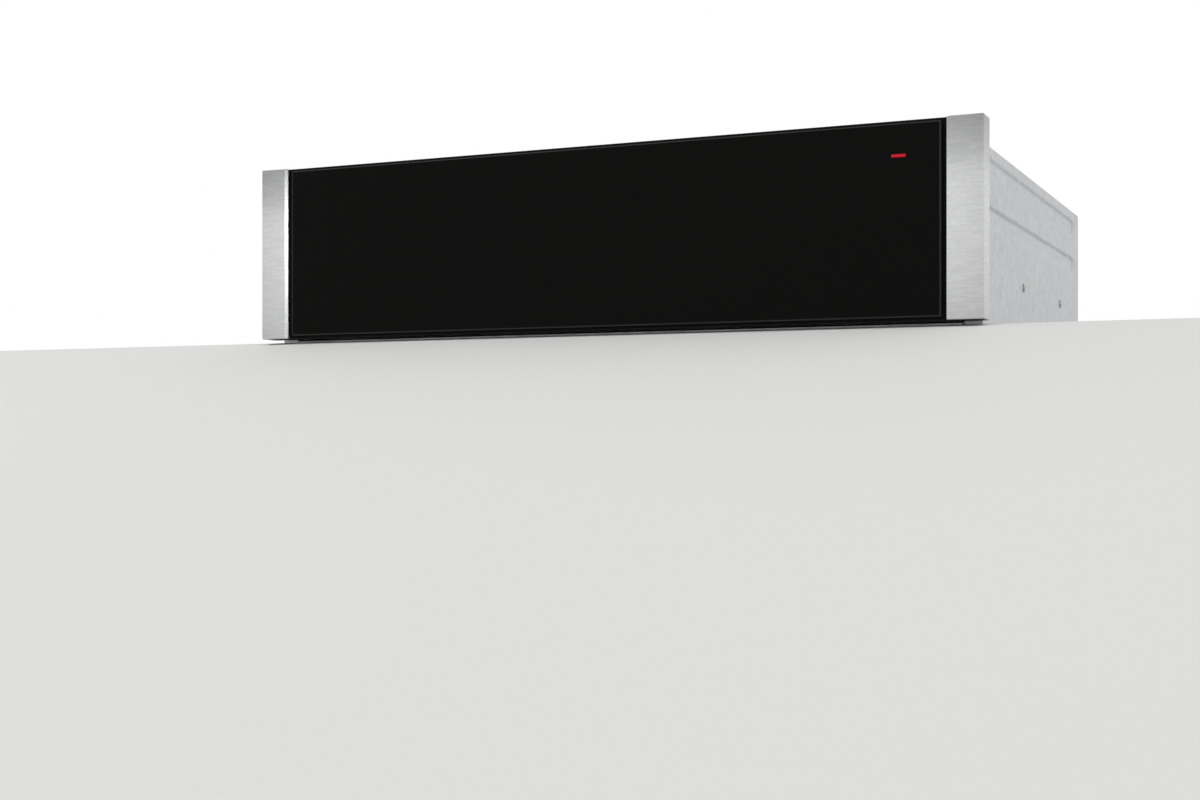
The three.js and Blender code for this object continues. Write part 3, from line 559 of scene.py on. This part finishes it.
coated("ceramicWhite", (0.78, 0.75, 0.68), 900, (0.5, 0.62), 0.15)
coated("insulationFelt", (0.72, 0.68, 0.58), 420, (0.9, 1.0), 0.9, 0.1)
coated("siliconeSheath", (0.62, 0.60, 0.56), 900, (0.5, 0.6), 0.1)
coated("siliconeBead", (0.02, 0.02, 0.02), 900, (0.35, 0.45), 0.1)
coated("whitePrint", (0.62, 0.62, 0.61), 1200, (0.5, 0.6), 0.1)
polishedGlass("blackGlass", (0.0022, 0.0018, 0.0015), 0.055, (0.02, 0.04))
# Paler grey for the pane's edge faces: a painted highlight along the arris
polishedGlass("groundEdge", (0.030, 0.031, 0.030), 0.1, (0.3, 0.4))
polishedGlass("plateGlass", (0.010, 0.010, 0.011), 0.4, (0.03, 0.09))
print("materials made")


# A level floor that falls as 1 - exp(-distance) ahead of the object, so that the camera can
# stand below the front
def makeFloor():
    reach, crest = studio["reach"], studio["crest"]
    ahead = np.geomspace(mm, reach, studio["aheadSteps"])
    soft = ahead ** 2 / (ahead + studio["softStart"])
    fallen = -studio["fall"] * (1 - np.exp(-soft / studio["fallLength"]))
    behind = np.linspace(0, reach, studio["behindSteps"])
    y = np.concatenate([crest - ahead[::-1], crest + behind])
    z = np.concatenate([fallen[::-1], np.zeros(len(behind))])
    x = np.linspace(-reach, reach, studio["acrossSteps"])
    paleFloor()
    shape = placeOn("top", x[:, None], y, z), gridFaces(len(x), len(y))
    floor = addMesh("studioFloor", shape, "paleFloor")
    if floor.data.polygons[0].normal.z < 0:
        floor.data.flip_normals()


# Pale and matt near the object, fading to plain white further out for the eye and for gloss
def paleFloor():
    tree, shader = newMaterial("paleFloor")
    cloud = useGroup(tree, "smudges", Scale=1.5, Contrast=0.02)
    colour = shaded(tree, studio["paleFloor"], cloud["Shade"])
    setInputs(tree, shader, {"Roughness": 0.8, "Specular IOR Level": 0.1, "Base Color": colour})
    away = addNode(tree, "VectorMath", {0: objectPlace(tree)}, operation="LENGTH").outputs["Value"]
    fade = ramp(tree, away, *studio["whiteReach"], 0, 1, "SMOOTHSTEP")
    path = addNode(tree, "LightPath").outputs
    direct = maths(tree, "MAXIMUM", path["Is Camera Ray"], path["Is Glossy Ray"])
    shown = maths(tree, "MAXIMUM", direct, path["Is Transmission Ray"])
    share = maths(tree, "MULTIPLY", fade, shown)
    white = addNode(tree, "Emission", {"Strength": studio["backgroundWhite"]}).outputs[0]
    mix = addNode(tree, "MixShader", {0: share, 1: shader.outputs[0], 2: white}).outputs[0]
    setInputs(tree, tree.nodes["Material Output"], {"Surface": mix})


makeFloor()

trim = dict(inMetres(
    bevelWidth=2.7, bevelDepth=1.1, outerRadius=1, endRound=0.7, sideReturn=1.5, faceDepth=4.6),
    arcSteps=8, endSteps=7)


# The outline moved inwards: each corner goes along the sum of its two edges' normals
def insetOutline(points, distance):
    edges = np.roll(points, -1, 0) - points
    edges = edges / np.linalg.norm(edges, axis=1)[:, None]
    normals = np.stack([-edges[:, 1], edges[:, 0]], -1)
    before = np.roll(normals, 1, 0)
    share = 1 + np.sum(normals * before, 1)
    return points + distance * (normals + before) / share[:, None]


# A section across X and Y is carried up, and rolls in over a quarter circle at both ends
def frontTrim(side):
    low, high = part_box("trim_right")
    r = trim["outerRadius"]
    arc = np.linspace(-math.pi / 2, 0, trim["arcSteps"])
    yBase = low.y + trim["faceDepth"]
    outline = np.array([
        (low.x, yBase),
        (low.x, low.y + trim["bevelDepth"]),
        (low.x + trim["bevelWidth"], low.y),
        *zip(high.x - r + r * np.cos(arc), low.y + r + r * np.sin(arc)),
        (high.x, high.y),
        (high.x - trim["sideReturn"], high.y),
        (high.x - trim["sideReturn"], yBase),
    ])
    turn = np.linspace(0, math.pi / 2, trim["endSteps"])
    inset = trim["endRound"] * (1 - np.cos(turn))
    rise = trim["endRound"] * (1 - np.sin(turn))
    levels = [*zip(low.z + rise[::-1], inset[::-1]), *zip(high.z - rise, inset)]
    rings = [np.column_stack([insetOutline(outline, inset), np.full(len(outline), z)]) for z, inset in levels]
    points = np.array(rings) * (-1 if side == "left" else 1, 1, 1)
    shape = points, cappedFaces(len(rings), len(outline))
    standFor("trim_" + side, addMesh(f"trim{side.capitalize()}Steel", shape, "trimSteel", sharpAngle=20))


for side in bothSides:
    frontTrim(side)

lampBar = dict(inMetres(
    flange=2, proud=0.05, depth=4, cornerRadius=0.5, edgeRound=0.15), unlit=(0.01, 0.001, 0.001),
    middle=(0.56, 0.008, 0.022), ends=(0.44, 0.024, 0.034), rimAlong=(0.78, 1.0, 1.0, 0.08),
    rimUp=(0.42, 1.0, 1.0, 0.16), paleAlong=(0.62, 0.80, 0.0, 1.0))


# The part of the lens that shows in the pane's slot: all but its flange
def lampOutline():
    low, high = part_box("indicator_lens")
    flange = lampBar["flange"]
    return (low.x + flange, low.z + flange), (high.x - flange, high.z - flange)


# The lens glows evenly, darkens at its rim and is paler near its two ends
def litLens():
    tree, shader = newMaterial("litRed")
    split = splitPlace(tree)
    low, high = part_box("indicator_lens")
    centre = (low + high) / 2
    half = (high - low) / 2 - Vector((lampBar["flange"], 0, lampBar["flange"]))

    def shareOut(axis):
        away = maths(tree, "ABSOLUTE", maths(tree, "SUBTRACT", split[axis], centre[axis]))
        return maths(tree, "DIVIDE", away, half[axis])

    def step(share, limits):
        return ramp(tree, share, *lampBar[limits], "SMOOTHSTEP")

    along, upward = shareOut(0), shareOut(2)
    rim = maths(tree, "MULTIPLY", step(along, "rimAlong"), step(upward, "rimUp"))
    colours = {0: step(along, "paleAlong"), 6: (*lampBar["middle"], 1), 7: (*lampBar["ends"], 1)}
    tint = addNode(tree, "Mix", colours, data_type="RGBA").outputs[2]
    setInputs(tree, shader, {
        "Base Color": (*lampBar["unlit"], 1),
        "Roughness": 0.3,
        "Specular IOR Level": 0.1,
        "Emission Color": shaded(tree, tint, rim),
        "Emission Strength": 1.0,
    })


def makeLampBar():
    face = lampBar["proud"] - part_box("indicator_lens")[0].y
    edge = [(0, face - lampBar["depth"]), (0, face - lampBar["edgeRound"]), (lampBar["edgeRound"], face)]
    bar = roundedSlab("front", *lampOutline(), lampBar["cornerRadius"], edge)
    litLens()
    standFor("indicator_lens", addMesh("lampBar", bar, "litRed"))


pane = dict(inMetres(
    cornerRadius=0.8, arris=0.8, arrisDepth=0.25, backArris=0.3, slotPlay=0.1, slotRadius=0.6), cornerSteps=5)


# The rings of one closed section: slot wall, face, ground arris, rim, back
def frontPane():
    low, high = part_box("front_glass")
    slotLow, slotHigh = np.array(lampOutline()) + np.array([[-1], [1]]) * pane["slotPlay"]
    slotRadius, corner, steps = pane["slotRadius"], pane["cornerRadius"], pane["cornerSteps"]
    slot = roundedOutline(slotLow, slotHigh, slotRadius, steps)
    rim = roundedOutline(low.xz, high.xz, corner, steps)
    front, back = -low.y, -high.y
    rings = [
        (slot, slotRadius, back),
        (slot, slotRadius, front),
        (rim, corner - pane["arris"], front),
        (rim, corner, front - pane["arrisDepth"]),
        (rim, corner, back + pane["backArris"]),
        (rim, corner - pane["backArris"], back),
    ]
    points = [ringPoints("front", *ring) for ring in rings]
    faces = gridFaces(len(rings), 4 * steps, closeRows=True, closeColumns=True)
    piece = addMesh("frontPane", (points, faces), "blackGlass", "groundEdge", sharpAngle=10)
    # Faces that look neither forwards nor back take the painted highlight
    for face in piece.data.polygons:
        face.material_index = int(abs(face.normal.y) < 0.99)
    standFor("front_glass", piece)


frontPane()
# The carrier's rounded edges take the paler grey of a painted highlight
softened("front_carrier", "blackCoat", 0.5, edgeMaterial="thinCoat")
softened("front_back_panel", "traySteelAcross", 0.25)
makeLampBar()
print("front made")

casing = dict(inMetres(
    sheet=1.2, beadHeight=4, beadHalf=17, beadFlank=5, beadSpacing=124, coverEnds=(34, 34),
    floorEnds=(34, 104), sideBeadHeight=1.4, sideBeadHalf=8, sideBeadFlank=4, sideBeadEnds=(40, 30),
    bendRadius=1.6, flangeWidth=13, holeRadius=2.5), holeShares=(0.2, 0.8), beadShares=(0.63, 0.89))


# Cover or floor: four long beads with round ends, sunk in the cover and raised in the floor
def beadedPlate(name, node, sign, endGaps):
    low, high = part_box(node)
    sheet, half, flank = casing["sheet"], casing["beadHalf"], casing["beadFlank"]
    plateFace = high.z if sign < 0 else low.z + sheet
    ends = (low.y + endGaps[0], high.y - endGaps[1])
    centres = [step * casing["beadSpacing"] for step in (-1.5, -0.5, 0.5, 1.5)]
    flanks = [centre + way * (half - flank / 2) for centre in centres for way in (-1, 1)]
    u = detailLines(low.x, high.x, 12 * mm, flanks, 4 * mm, 1 * mm)[:, None]
    v = detailLines(low.y, high.y, 40 * mm, [ends[0] + half / 2, ends[1] - half / 2], half * 0.8, 2 * mm)
    beads = sum(beadShape(u, v, centre, ends, half, flank) for centre in centres)
    top = plateFace + sign * casing["beadHeight"] * beads
    layers = [placeOn("top", u, v, height) for height in (top, top - sheet)]
    standFor(node, addMesh(name, closedSheet(*layers), "zincSheet", sharpAngle=50))


beadedPlate("casingCoverSheet", "casing_top", -1, casing["coverEnds"])
beadedPlate("casingFloorSheet", "casing_floor", 1, casing["floorEnds"])


# A strip bent outwards at the front: its rows run from the flange's edge round the bend to the
# rear, and two beads stand off it inwards
def casingSide(side):
    low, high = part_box("casing_side_right")
    sheet, r, hole = casing["sheet"], casing["bendRadius"], casing["holeRadius"]
    wallX = high.x - casing["flangeWidth"]
    holeX = wallX + casing["flangeWidth"] / 2
    holeHeights = [share * high.z for share in casing["holeShares"]]
    beadHeights = [share * high.z for share in casing["beadShares"]]
    steps = np.array([-1.6, -1, -0.5, 0, 0.5, 1, 1.6]) * hole
    bend = np.linspace(0, math.pi / 2, 7)[1:-1]
    flangeX = np.concatenate([[high.x], holeX - steps, [wallX + r]])
    fineAt = [high.y - 40 * mm, low.y + 52 * mm]
    wallY = detailLines(low.y + sheet + r, high.y, 30 * mm, fineAt, 8 * mm, 2 * mm)
    flange, wall = np.zeros(len(flangeX)), np.ones(len(wallY))
    lineX = np.concatenate([flangeX, wallX + r - r * np.sin(bend), wallX * wall])
    lineY = np.concatenate([flange + low.y + sheet, low.y + sheet + r - r * np.cos(bend), wallY])
    normalX = -np.concatenate([flange, np.sin(bend), wall])
    normalY = -np.concatenate([1 - flange, np.cos(bend), 1 - wall])
    half = casing["sideBeadHalf"]
    flanks = [centre + way * half * 0.75 for centre in beadHeights for way in (-1, 1)]
    z = np.concatenate([detailLines(low.z, high.z, 12 * mm, flanks, 4 * mm, 1 * mm),
                        *(height + steps for height in holeHeights)])
    z = np.unique(np.round(z, 6))
    z = z[np.concatenate([[True], np.diff(z) > 0.1 * mm])]
    x, gridZ = np.meshgrid(lineX, z, indexing="ij")
    x, gridZ, keep = roundHoles(x, gridZ, [(holeX, height) for height in holeHeights], hole, 1.6 * hole)
    y = np.broadcast_to(lineY[:, None], x.shape)
    ends = (low.y + casing["sideBeadEnds"][0], high.y - casing["sideBeadEnds"][1])
    press = sum(beadShape(gridZ, y, centre, ends, half, casing["sideBeadFlank"]) for centre in beadHeights)
    press = casing["sideBeadHeight"] * press * (normalX[:, None] == -1)

    def layer(depth):
        return np.stack([x + normalX[:, None] * (depth + press), y + normalY[:, None] * depth, gridZ], -1)

    points, faces = closedSheet(layer(0), layer(sheet), keep)
    shape = points * (-1 if side == "left" else 1, 1, 1), faces
    piece = addMesh(f"casingSide{side.capitalize()}Sheet", shape, "zincSheet", sharpAngle=40)
    standFor("casing_side_" + side, piece)


for side in bothSides:
    casingSide(side)
softened("casing_rear", "zincSheet", 0.3)
softened("front_strip_top", "blackCoat", 0.4)
softened("front_strip_bottom", "blackCoat", 0.4)
print("casing made")

screw = dict(inMetres(seat=0.1), headHeight=0.42, curve=0.72, slotWidth=0.16, slotReach=0.62,
             slotDepth=0.3, rings=9, steps=32)


# A domed head: the height is the root of 1 less a share of r squared, and a cross is sunk in it
def screwHead(face, centre, base, diameter, values):
    radius = diameter / 2
    r = np.linspace(0, 1, values["rings"])[:, None]
    angle = np.linspace(0, 2 * math.pi, values["steps"], endpoint=False)[None, :]
    dome = values["headHeight"] * np.sqrt(np.clip(1 - values["curve"] * r ** 2, 0, 1))
    across = np.minimum(np.abs(r * np.cos(angle)), np.abs(r * np.sin(angle)))
    recess = (across < values["slotWidth"] / 2) & (r < values["slotReach"])
    top = base + radius * (dome - values["slotDepth"] * recess)
    heights = np.concatenate([top, np.full_like(angle, base - values["seat"])])
    reach = radius * np.concatenate([r, [[1]]])
    return ringPoints(face, (*centre, angle), reach, heights), cappedFaces(len(reach), values["steps"])


def addScrews(name, body, spots, values=screw):
    heads = merged([screwHead(face, (u, v), base, diameter, values) for face, u, v, base, diameter in spots])
    fitPiece(addMesh(name, heads, "screwSteel", sharpAngle=40), body)


casingFixings = dict(inMetres(
    head=6.5, slideHead=7, coverInset=8, sideInset=7, rearInset=9, rearHeight=6, slideInset=40), perRow=5,
    sideY=(-0.24, -0.08, 0.08))


def casingScrews():
    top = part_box("casing_top")[1]
    low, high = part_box("casing_rear")
    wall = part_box("casing_side_right")[1].x - casing["flangeWidth"]
    slideLow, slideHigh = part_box("cabinet_slide_right")
    slideZ = (slideLow.z + slideHigh.z) / 2
    gap = casingFixings["slideInset"]
    slideY = np.linspace(slideLow.y + gap, slideHigh.y - gap, 3)
    head, inset, edge = casingFixings["head"], casingFixings["coverInset"], casingFixings["rearInset"]
    coverX = np.linspace(low.x + inset, high.x - inset, casingFixings["perRow"])
    rearX = np.linspace(low.x + edge, high.x - edge, casingFixings["perRow"])
    sideX = high.x - casingFixings["sideInset"]
    spots = [("top", x, top.y - inset, top.z, head) for x in coverX]
    spots += [("top", way * sideX, y, top.z, head) for way in (-1, 1) for y in casingFixings["sideY"]]
    spots += [("rear", x, low.z + casingFixings["rearHeight"], high.y, head) for x in rearX]
    spots += [(face, y, slideZ, wall, casingFixings["slideHead"]) for face in bothSides for y in slideY]
    addScrews("casingScrews", "casing", spots)


casingScrews()

lid = inMetres(
    corner=3, round=1.2, ribPitch=7, ribWidth=2.2, ribInset=9, ribsFrom=14, ribsTo=10, screwInset=6,
    screwHead=5)


# A lid with a rolled edge and a row of low ribs across it, held by a screw in each corner
def terminalCover():
    low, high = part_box("terminal_cover")
    r, inset, width = lid["round"], lid["ribInset"], lid["ribWidth"]
    edge = [(0, low.y), (0, high.y - r), (0.3 * r, high.y - 0.3 * r), (r, high.y)]
    shapes = [roundedSlab("rear", low.xz, high.xz, lid["corner"], edge)]
    rib = [(0, high.y - 0.1 * mm), (0, high.y + 0.2 * mm), (0.4 * mm, high.y + 0.5 * mm)]
    for i in range(int((high.z - low.z - lid["ribsFrom"] - lid["ribsTo"]) / lid["ribPitch"])):
        z = low.z + lid["ribsFrom"] + i * lid["ribPitch"]
        shapes.append(roundedSlab("rear", (low.x + inset, z), (high.x - inset, z + width), 1.0 * mm, rib, 4))
    standFor("terminal_cover", addMesh("terminalLid", merged(shapes), "blackPlastic"))
    inset = lid["screwInset"]
    corners = [(x, z) for x in (low.x + inset, high.x - inset) for z in (low.z + inset, high.z - inset)]
    spots = [("rear", *corner, high.y, lid["screwHead"]) for corner in corners]
    addScrews("terminalScrews", "casing", spots)


gland = dict(inMetres(bore=4.5, noseStep=2.3, threadPitch=1.8, threadDepth=0.3, collar=3), nutShare=0.42)


# The gland: six flats near the box, then a threaded nose and a soft collar
def cableGland():
    low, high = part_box("cable_gland")
    length = high.x - low.x
    outer = (high.z - low.z) / 2
    nose = outer - gland["noseStep"]
    bore, pitch = gland["bore"], gland["threadPitch"]
    nut = gland["nutShare"] * length
    profile = [(bore, 0), (outer * 0.96, 0), (outer, 0.6 * mm), (outer, nut - 0.6 * mm), (outer * 0.95, nut)]
    steps = np.arange(0, length - nut - gland["collar"], pitch / 4)
    thread = nose + gland["threadDepth"] * np.cos(2 * math.pi * steps / pitch)
    profile += [*zip(thread, nut + 0.2 * mm + steps)]
    profile += [(nose - 0.2 * mm, length - 2.2 * mm), (nose - 1.4 * mm, length - 0.3 * mm),
                (nose - 1.9 * mm, length), (bore, length), (bore, 0)]
    hexRings = 5

    def ripple(angle, ring):
        sector = np.mod(angle, math.pi / 3) - math.pi / 6
        hexagon = math.cos(math.pi / 6) / np.cos(sector)
        return np.where((ring > 0) & (ring < hexRings), hexagon, 1.0)

    centre = ((low.y + high.y) / 2, (low.z + high.z) / 2)
    shape = turned("right", centre, [(radius, low.x + along) for radius, along in profile], 48, ripple)
    standFor("cable_gland", addMesh("glandNut", shape, "blackPlastic"))


softened("terminal_box", "blackPlastic", 1.0, 3)
terminalCover()
cableGland()

lead = inMetres(
    rear=[(-200, 266, 40), (-200, 254, 40), (-196, 240, 40), (-184, 230, 40), (-168, 227, 40),
           (-140, 227, 40), (-115, 227, 42), (-94, 227, 52), (-86, 227, 70), (-94, 227, 88),
           (-115, 227, 98), (-140, 227, 99), (-160, 226, 99)],
    front=[(-160, 226, 99), (-185, 225, 97), (-210, 224, 88), (-226, 223, 64), (-214, 222, 38),
            (-192, 222, 26), (-165, 221, 24), (-138, 219, 24), (-118, 212, 24), (-107, 202, 24),
            (-104, 192, 24), (-104, 179.4, 24)],
    radius=3.5)


def innerLead():
    for part, bodies in (("rear", ("casing", "ejector")), ("front", ("ejector", "drawer"))):
        route = lead[part]
        sheath = tube(smoothPath(route, 8), lead["radius"], 16)
        piece = addMesh("innerLead" + part.capitalize(), sheath, "siliconeSheath")
        stretchFor("lead_" + part, piece)


innerLead()
print("supply made")

spring = dict(inMetres(wire=0.8, radius=8.2), turns=6, closeEnds=0.08)


# A helix whose pitch closes up at both ends
def latchSpring():
    low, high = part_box("latch_spring")
    centreZ = (low.z + high.z) / 2
    t = np.linspace(0, 1, spring["turns"] * 24 + 1)
    angle = 2 * math.pi * spring["turns"] * t
    start = low.y + spring["wire"]
    end = high.y - spring["wire"]
    y = start + (end - start) * (t - spring["closeEnds"] * np.sin(2 * math.pi * t))
    path = ringPoints("rear", (0, centreZ, angle), spring["radius"], y)
    coil = addMesh("latchCoil", tube(path, spring["wire"], 10), "drawnSteel")
    stretchFor("latch_spring", coil)


magnet = dict(inMetres(edge=0.5, grooveDepth=0.6, backPlay=0.12), groove=(0.66, 0.74))


# A pot magnet turned about the rod's axis, with a round groove between its rim and its core
def potMagnet():
    low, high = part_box("ejector_magnet")
    r, e = (high.x - low.x) / 2, magnet["edge"]
    inner, outer = (share * r for share in magnet["groove"])
    back, sunk = high.y - magnet["backPlay"], low.y + magnet["grooveDepth"]
    profile = [(0, low.y), (inner, low.y), (inner, sunk), (outer, sunk), (outer, low.y), (r - e, low.y),
               (r, low.y + e), (r, back - e), (r - e, back), (0, back)]
    shape = turned("rear", ((low.x + high.x) / 2, (low.z + high.z) / 2), profile, 48)
    standFor("ejector_magnet", addMesh("potMagnet", shape, "magnetSteel"))


latchSpring()
softened("latch_housing", "blackPlastic", 1.2, 3)
softened("ejector_rod", "greyPlastic", 0.6)
potMagnet()
softened("striker_plate", "zincSlide", 0.5)
print("latch made")

balls = dict(inMetres(radius=1.47, inset=1.45), perRow=5)


# Two rows of balls in a cage, each ball a half circle turned about its own axis
def ballRows(side, cage):
    low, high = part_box(f"{cage}_cage_{side}")
    x = (low.x + high.x) / 2
    spots = low.y + (high.y - low.y) / balls["perRow"] * (np.arange(balls["perRow"]) + 0.5)
    half = np.linspace(0, math.pi, 11)
    profile = np.column_stack([np.sin(half), -np.cos(half)]) * balls["radius"]
    ball, ballFaces = turned("top", (0, 0), profile, 16)
    heights = (low.z + balls["inset"], high.z - balls["inset"])
    shapes = [(ball + (x, y, z), ballFaces) for z in heights for y in spots]
    piece = addMesh(f"{cage}Balls{side.capitalize()}", merged(shapes), "drawnSteel", sharpAngle=60)
    fitPiece(piece, f"{cage}_balls_{side}")


for side in bothSides:
    for member in ("cabinet", "middle", "drawer"):
        softened(f"{member}_slide_{side}", "zincSlide", 0.45)
    for cage in ("outer", "inner"):
        finishNode(f"{cage}_cage_{side}", "drawnSteel")
        ballRows(side, cage)
print("slides made")

for side in bothSides:
    softened(f"tray_side_{side}", "traySteelAlong", 0.42)
    softened(f"front_bracket_{side}", "zincSlide", 0.5)
softened("tray_rear", "traySteelAcross", 0.42)
softened("base_pan", "zincSheet", 0.4)
softened("deck_frame", "traySteelAcross", 0.3, 1)
softened("control_panel", "traySteelAcross", 0.42)
softened("control_housing", "blackPlastic", 0.8)
softened("selector_switch", "greyPlastic", 0.8)
softened("junction_block", "ceramicWhite", 0.8)
softened("temperature_limiter", "ceramicWhite", 0.6)
softened("terminal_block", "ceramicWhite", 0.8)
finishNode("heat_spreader", "rolledAluminium")
finishNode("insulation_mat", "insulationFelt")
finishNode("lamp_module", "blackPlastic")
finishNode("selector_spindle", "drawnSteel")

plate = dict(inMetres(
    corner=9, edgeRound=1.3, lineInset=14, lineCorner=14, lineWidth=0.8, lineHeight=0.04, sealWidth=2.4,
    sealHeight=1), sealShare=0.6, cornerSteps=10)


# A pane with round corners, its top edge rolled over a quarter circle
def heatedPlate():
    low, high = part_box("warming_plate")
    r = plate["edgeRound"]
    turn = np.linspace(0, math.pi / 2, 7)
    edge = [(0, low.z), *zip(r - r * np.cos(turn), high.z - r + r * np.sin(turn))]
    slab = roundedSlab("top", low.xy, high.xy, plate["corner"], edge, plate["cornerSteps"])
    standFor("warming_plate", addMesh("heatedPlate", slab, "plateGlass"))


# A closed band of even width, its outer edge a margin inside the plate's
def plateBand(name, material, margin, corner, width, base, height):
    low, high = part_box("warming_plate")
    ends = (low.x + margin, low.y + margin), (high.x - margin, high.y - margin)
    outline = roundedOutline(*ends, corner, plate["cornerSteps"])
    reach = np.array([corner, corner, corner - width, corner - width])[:, None]
    level = np.array([base, base + height, base + height, base])[:, None]
    faces = gridFaces(len(level), 4 * plate["cornerSteps"], closeRows=True, closeColumns=True)
    shape = ringPoints("top", outline, reach, level), faces
    fitPiece(addMesh(name, shape, material), "drawer")


# The printed line round the heated zone, and the seal in the gap round the plate
def plateBands():
    low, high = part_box("warming_plate")
    overlap = plate["sealWidth"] * plate["sealShare"]
    plateBand("plateLine", "whitePrint", plate["lineInset"], plate["lineCorner"],
              plate["lineWidth"], high.z - 0.01 * mm, plate["lineHeight"])
    plateBand("plateSeal", "siliconeBead", -overlap, plate["corner"] + overlap,
              plate["sealWidth"], low.z - 0.02 * mm, plate["sealHeight"])


heater = dict(inMetres(radius=3.2), runs=6)


# Straight runs across the plate joined by half circles
def heaterTube():
    low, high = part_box("heating_element")
    r = heater["radius"]
    pitch = (high.y - low.y - 2 * r) / (heater["runs"] - 1)
    half = (high.x - low.x) / 2 - r - pitch / 2
    turn = np.linspace(0, math.pi, 13)[1:-1]
    stretches = []
    for run in range(heater["runs"]):
        y = low.y + r + run * pitch
        way = 1 if run % 2 == 0 else -1
        stretches.append(np.column_stack([np.linspace(-way * half, way * half, 12), np.full(12, y)]))
        if run < heater["runs"] - 1:
            bendX = way * (half + pitch / 2 * np.sin(turn))
            stretches.append(np.column_stack([bendX, y + pitch / 2 * (1 - np.cos(turn))]))
    flat = np.concatenate(stretches)
    path = np.column_stack([flat, np.full(len(flat), (low.z + high.z) / 2)])
    standFor("heating_element", addMesh("heaterTube", tube(path, r, 12), "heaterSheath"))


heatedPlate()
plateBands()
heaterTube()

knob = dict(inMetres(
    taper=1.5, topRound=1.6, dish=0.5, pointerWidth=1.5, pointerFrom=5, pointerEdge=2.6, scaleRadius=20.6,
    numeralSize=6.4, numeralWeight=0.1, tickFrom=16.8, tickTo=18, tickWidth=0.45, printHeight=0.05),
    flutes=30, fluteDepth=0.02, levels=5, sweep=240)


# A turned grip whose wall waves in and out round the edge, with a rounded, dished top
def selectorKnob(centre):
    low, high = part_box("selector_knob")
    base = (high.x - low.x) / 2
    upper = base - knob["taper"]
    r, dished = knob["topRound"], high.z - knob["dish"]
    turn = np.linspace(0, math.pi / 2, 6)
    gripStart, gripEnd = 3, 8
    profile = [(0, low.z), (base - 1 * mm, low.z), (base, low.z + 0.8 * mm)]
    profile += [(base - 0.4 * mm, low.z + 3 * mm), (base - 0.6 * mm, low.z + 3.4 * mm)]
    profile += [(upper + 0.3 * mm, high.z - r - 1.5 * mm)]
    profile += [*zip(upper - r + r * np.cos(turn), high.z - r + r * np.sin(turn))]
    profile += [(upper - r - 2 * mm, high.z - 0.2 * mm), (upper * 0.5, dished), (0, dished)]

    def ripple(angle, ring):
        grip = (ring > gripStart) & (ring < gripEnd)
        wave = 0.5 - 0.5 * np.cos(knob["flutes"] * angle)
        return 1 - knob["fluteDepth"] * grip * wave ** 2

    grip = turned("top", centre, profile, knob["flutes"] * 6, ripple)
    standFor("selector_knob", addMesh("knobGrip", grip, "blackPlastic", sharpAngle=50))
    half = knob["pointerWidth"] / 2
    top = high.z - 0.15 * mm
    edge = [(0, top - 0.6 * mm), (0, top), (0.2 * mm, top + 0.2 * mm)]
    start = (centre[0] - half, centre[1] + knob["pointerFrom"])
    end = (centre[0] + half, centre[1] + base - knob["pointerEdge"])
    pointer = roundedSlab("top", start, end, half * 0.9, edge, 4)
    fitPiece(addMesh("knobPointer", pointer, "whitePrint"), "knob")


def numeral(level):
    text = bpy.data.curves.new("numeral", "FONT")
    text.body = str(level)
    text.size = knob["numeralSize"]
    text.offset = knob["numeralWeight"]
    text.align_x = text.align_y = "CENTER"
    text.extrude = knob["printHeight"]
    holder = addObject("numeral", text)
    mesh = holder.to_mesh()
    points = np.array([vertex.co for vertex in mesh.vertices])
    faces = [list(face.vertices) for face in mesh.polygons]
    bpy.data.objects.remove(holder)
    return points, faces


# Plain numbers at equal steps round the knob and a short radial tick at every half step
def selectorScale(centre):
    middle = np.array((*centre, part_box("control_panel")[1].z))
    lift = np.array((0, 0, knob["printHeight"]))
    shapes = []
    halfSteps = 2 * (knob["levels"] - 1)
    for step in range(halfSteps + 1):
        angle = math.radians(90 + knob["sweep"] / 2 - step * knob["sweep"] / halfSteps)
        outward = np.array((math.cos(angle), math.sin(angle), 0))
        across = np.array((-outward[1], outward[0], 0)) * knob["tickWidth"] / 2
        start = middle + knob["tickFrom"] * outward
        end = start + (knob["tickTo"] - knob["tickFrom"]) * outward * (1 if step % 2 == 0 else 0.6)
        foot = np.array([start - across, end - across, end + across, start + across])
        shapes.append((np.concatenate([foot - lift, foot + lift]), cappedFaces(2, 4)))
        if step % 2 == 0:
            points, faces = numeral(step // 2)
            shapes.append((points + (middle + knob["scaleRadius"] * outward), faces))
    fitPiece(addMesh("selectorScale", merged(shapes), "blackPlastic"), "drawer")


knobLow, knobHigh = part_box("selector_knob")
knobCentre = ((knobLow.x + knobHigh.x) / 2, (knobLow.y + knobHigh.y) / 2)
selectorKnob(knobCentre)
selectorScale(knobCentre)

drawerFixings = dict(inMetres(
    head=6, panelHead=6.4, panelInset=12), ledgeX=(-0.25, -0.085, 0.085, 0.25), rearX=(-0.25, 0.25),
    rearZ=(0.098, 0.030), panelZ=(0.026, 0.118))
flatScrew = dict(screw, headHeight=0.22, slotDepth=0.14)


def drawerScrews():
    low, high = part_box("control_panel")
    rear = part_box("tray_rear")[1].y
    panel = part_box("front_back_panel")[1]
    panelX = panel.x - drawerFixings["panelInset"]
    head, rearX = drawerFixings["head"], drawerFixings["rearX"]
    spots = [("top", x, (low.y + high.y) / 2, high.z, head) for x in drawerFixings["ledgeX"]]
    spots += [("rear", x, z, rear, head) for z in drawerFixings["rearZ"] for x in rearX]
    addScrews("drawerScrews", "drawer", spots)
    corners = [(x, z) for x in (-panelX, panelX) for z in drawerFixings["panelZ"]]
    spots = [("rear", *corner, panel.y, drawerFixings["panelHead"]) for corner in corners]
    addScrews("panelScrews", "drawer", spots, flatScrew)


drawerScrews()
print("drawer made")

bpy.context.scene.view_settings.view_transform = "Standard"
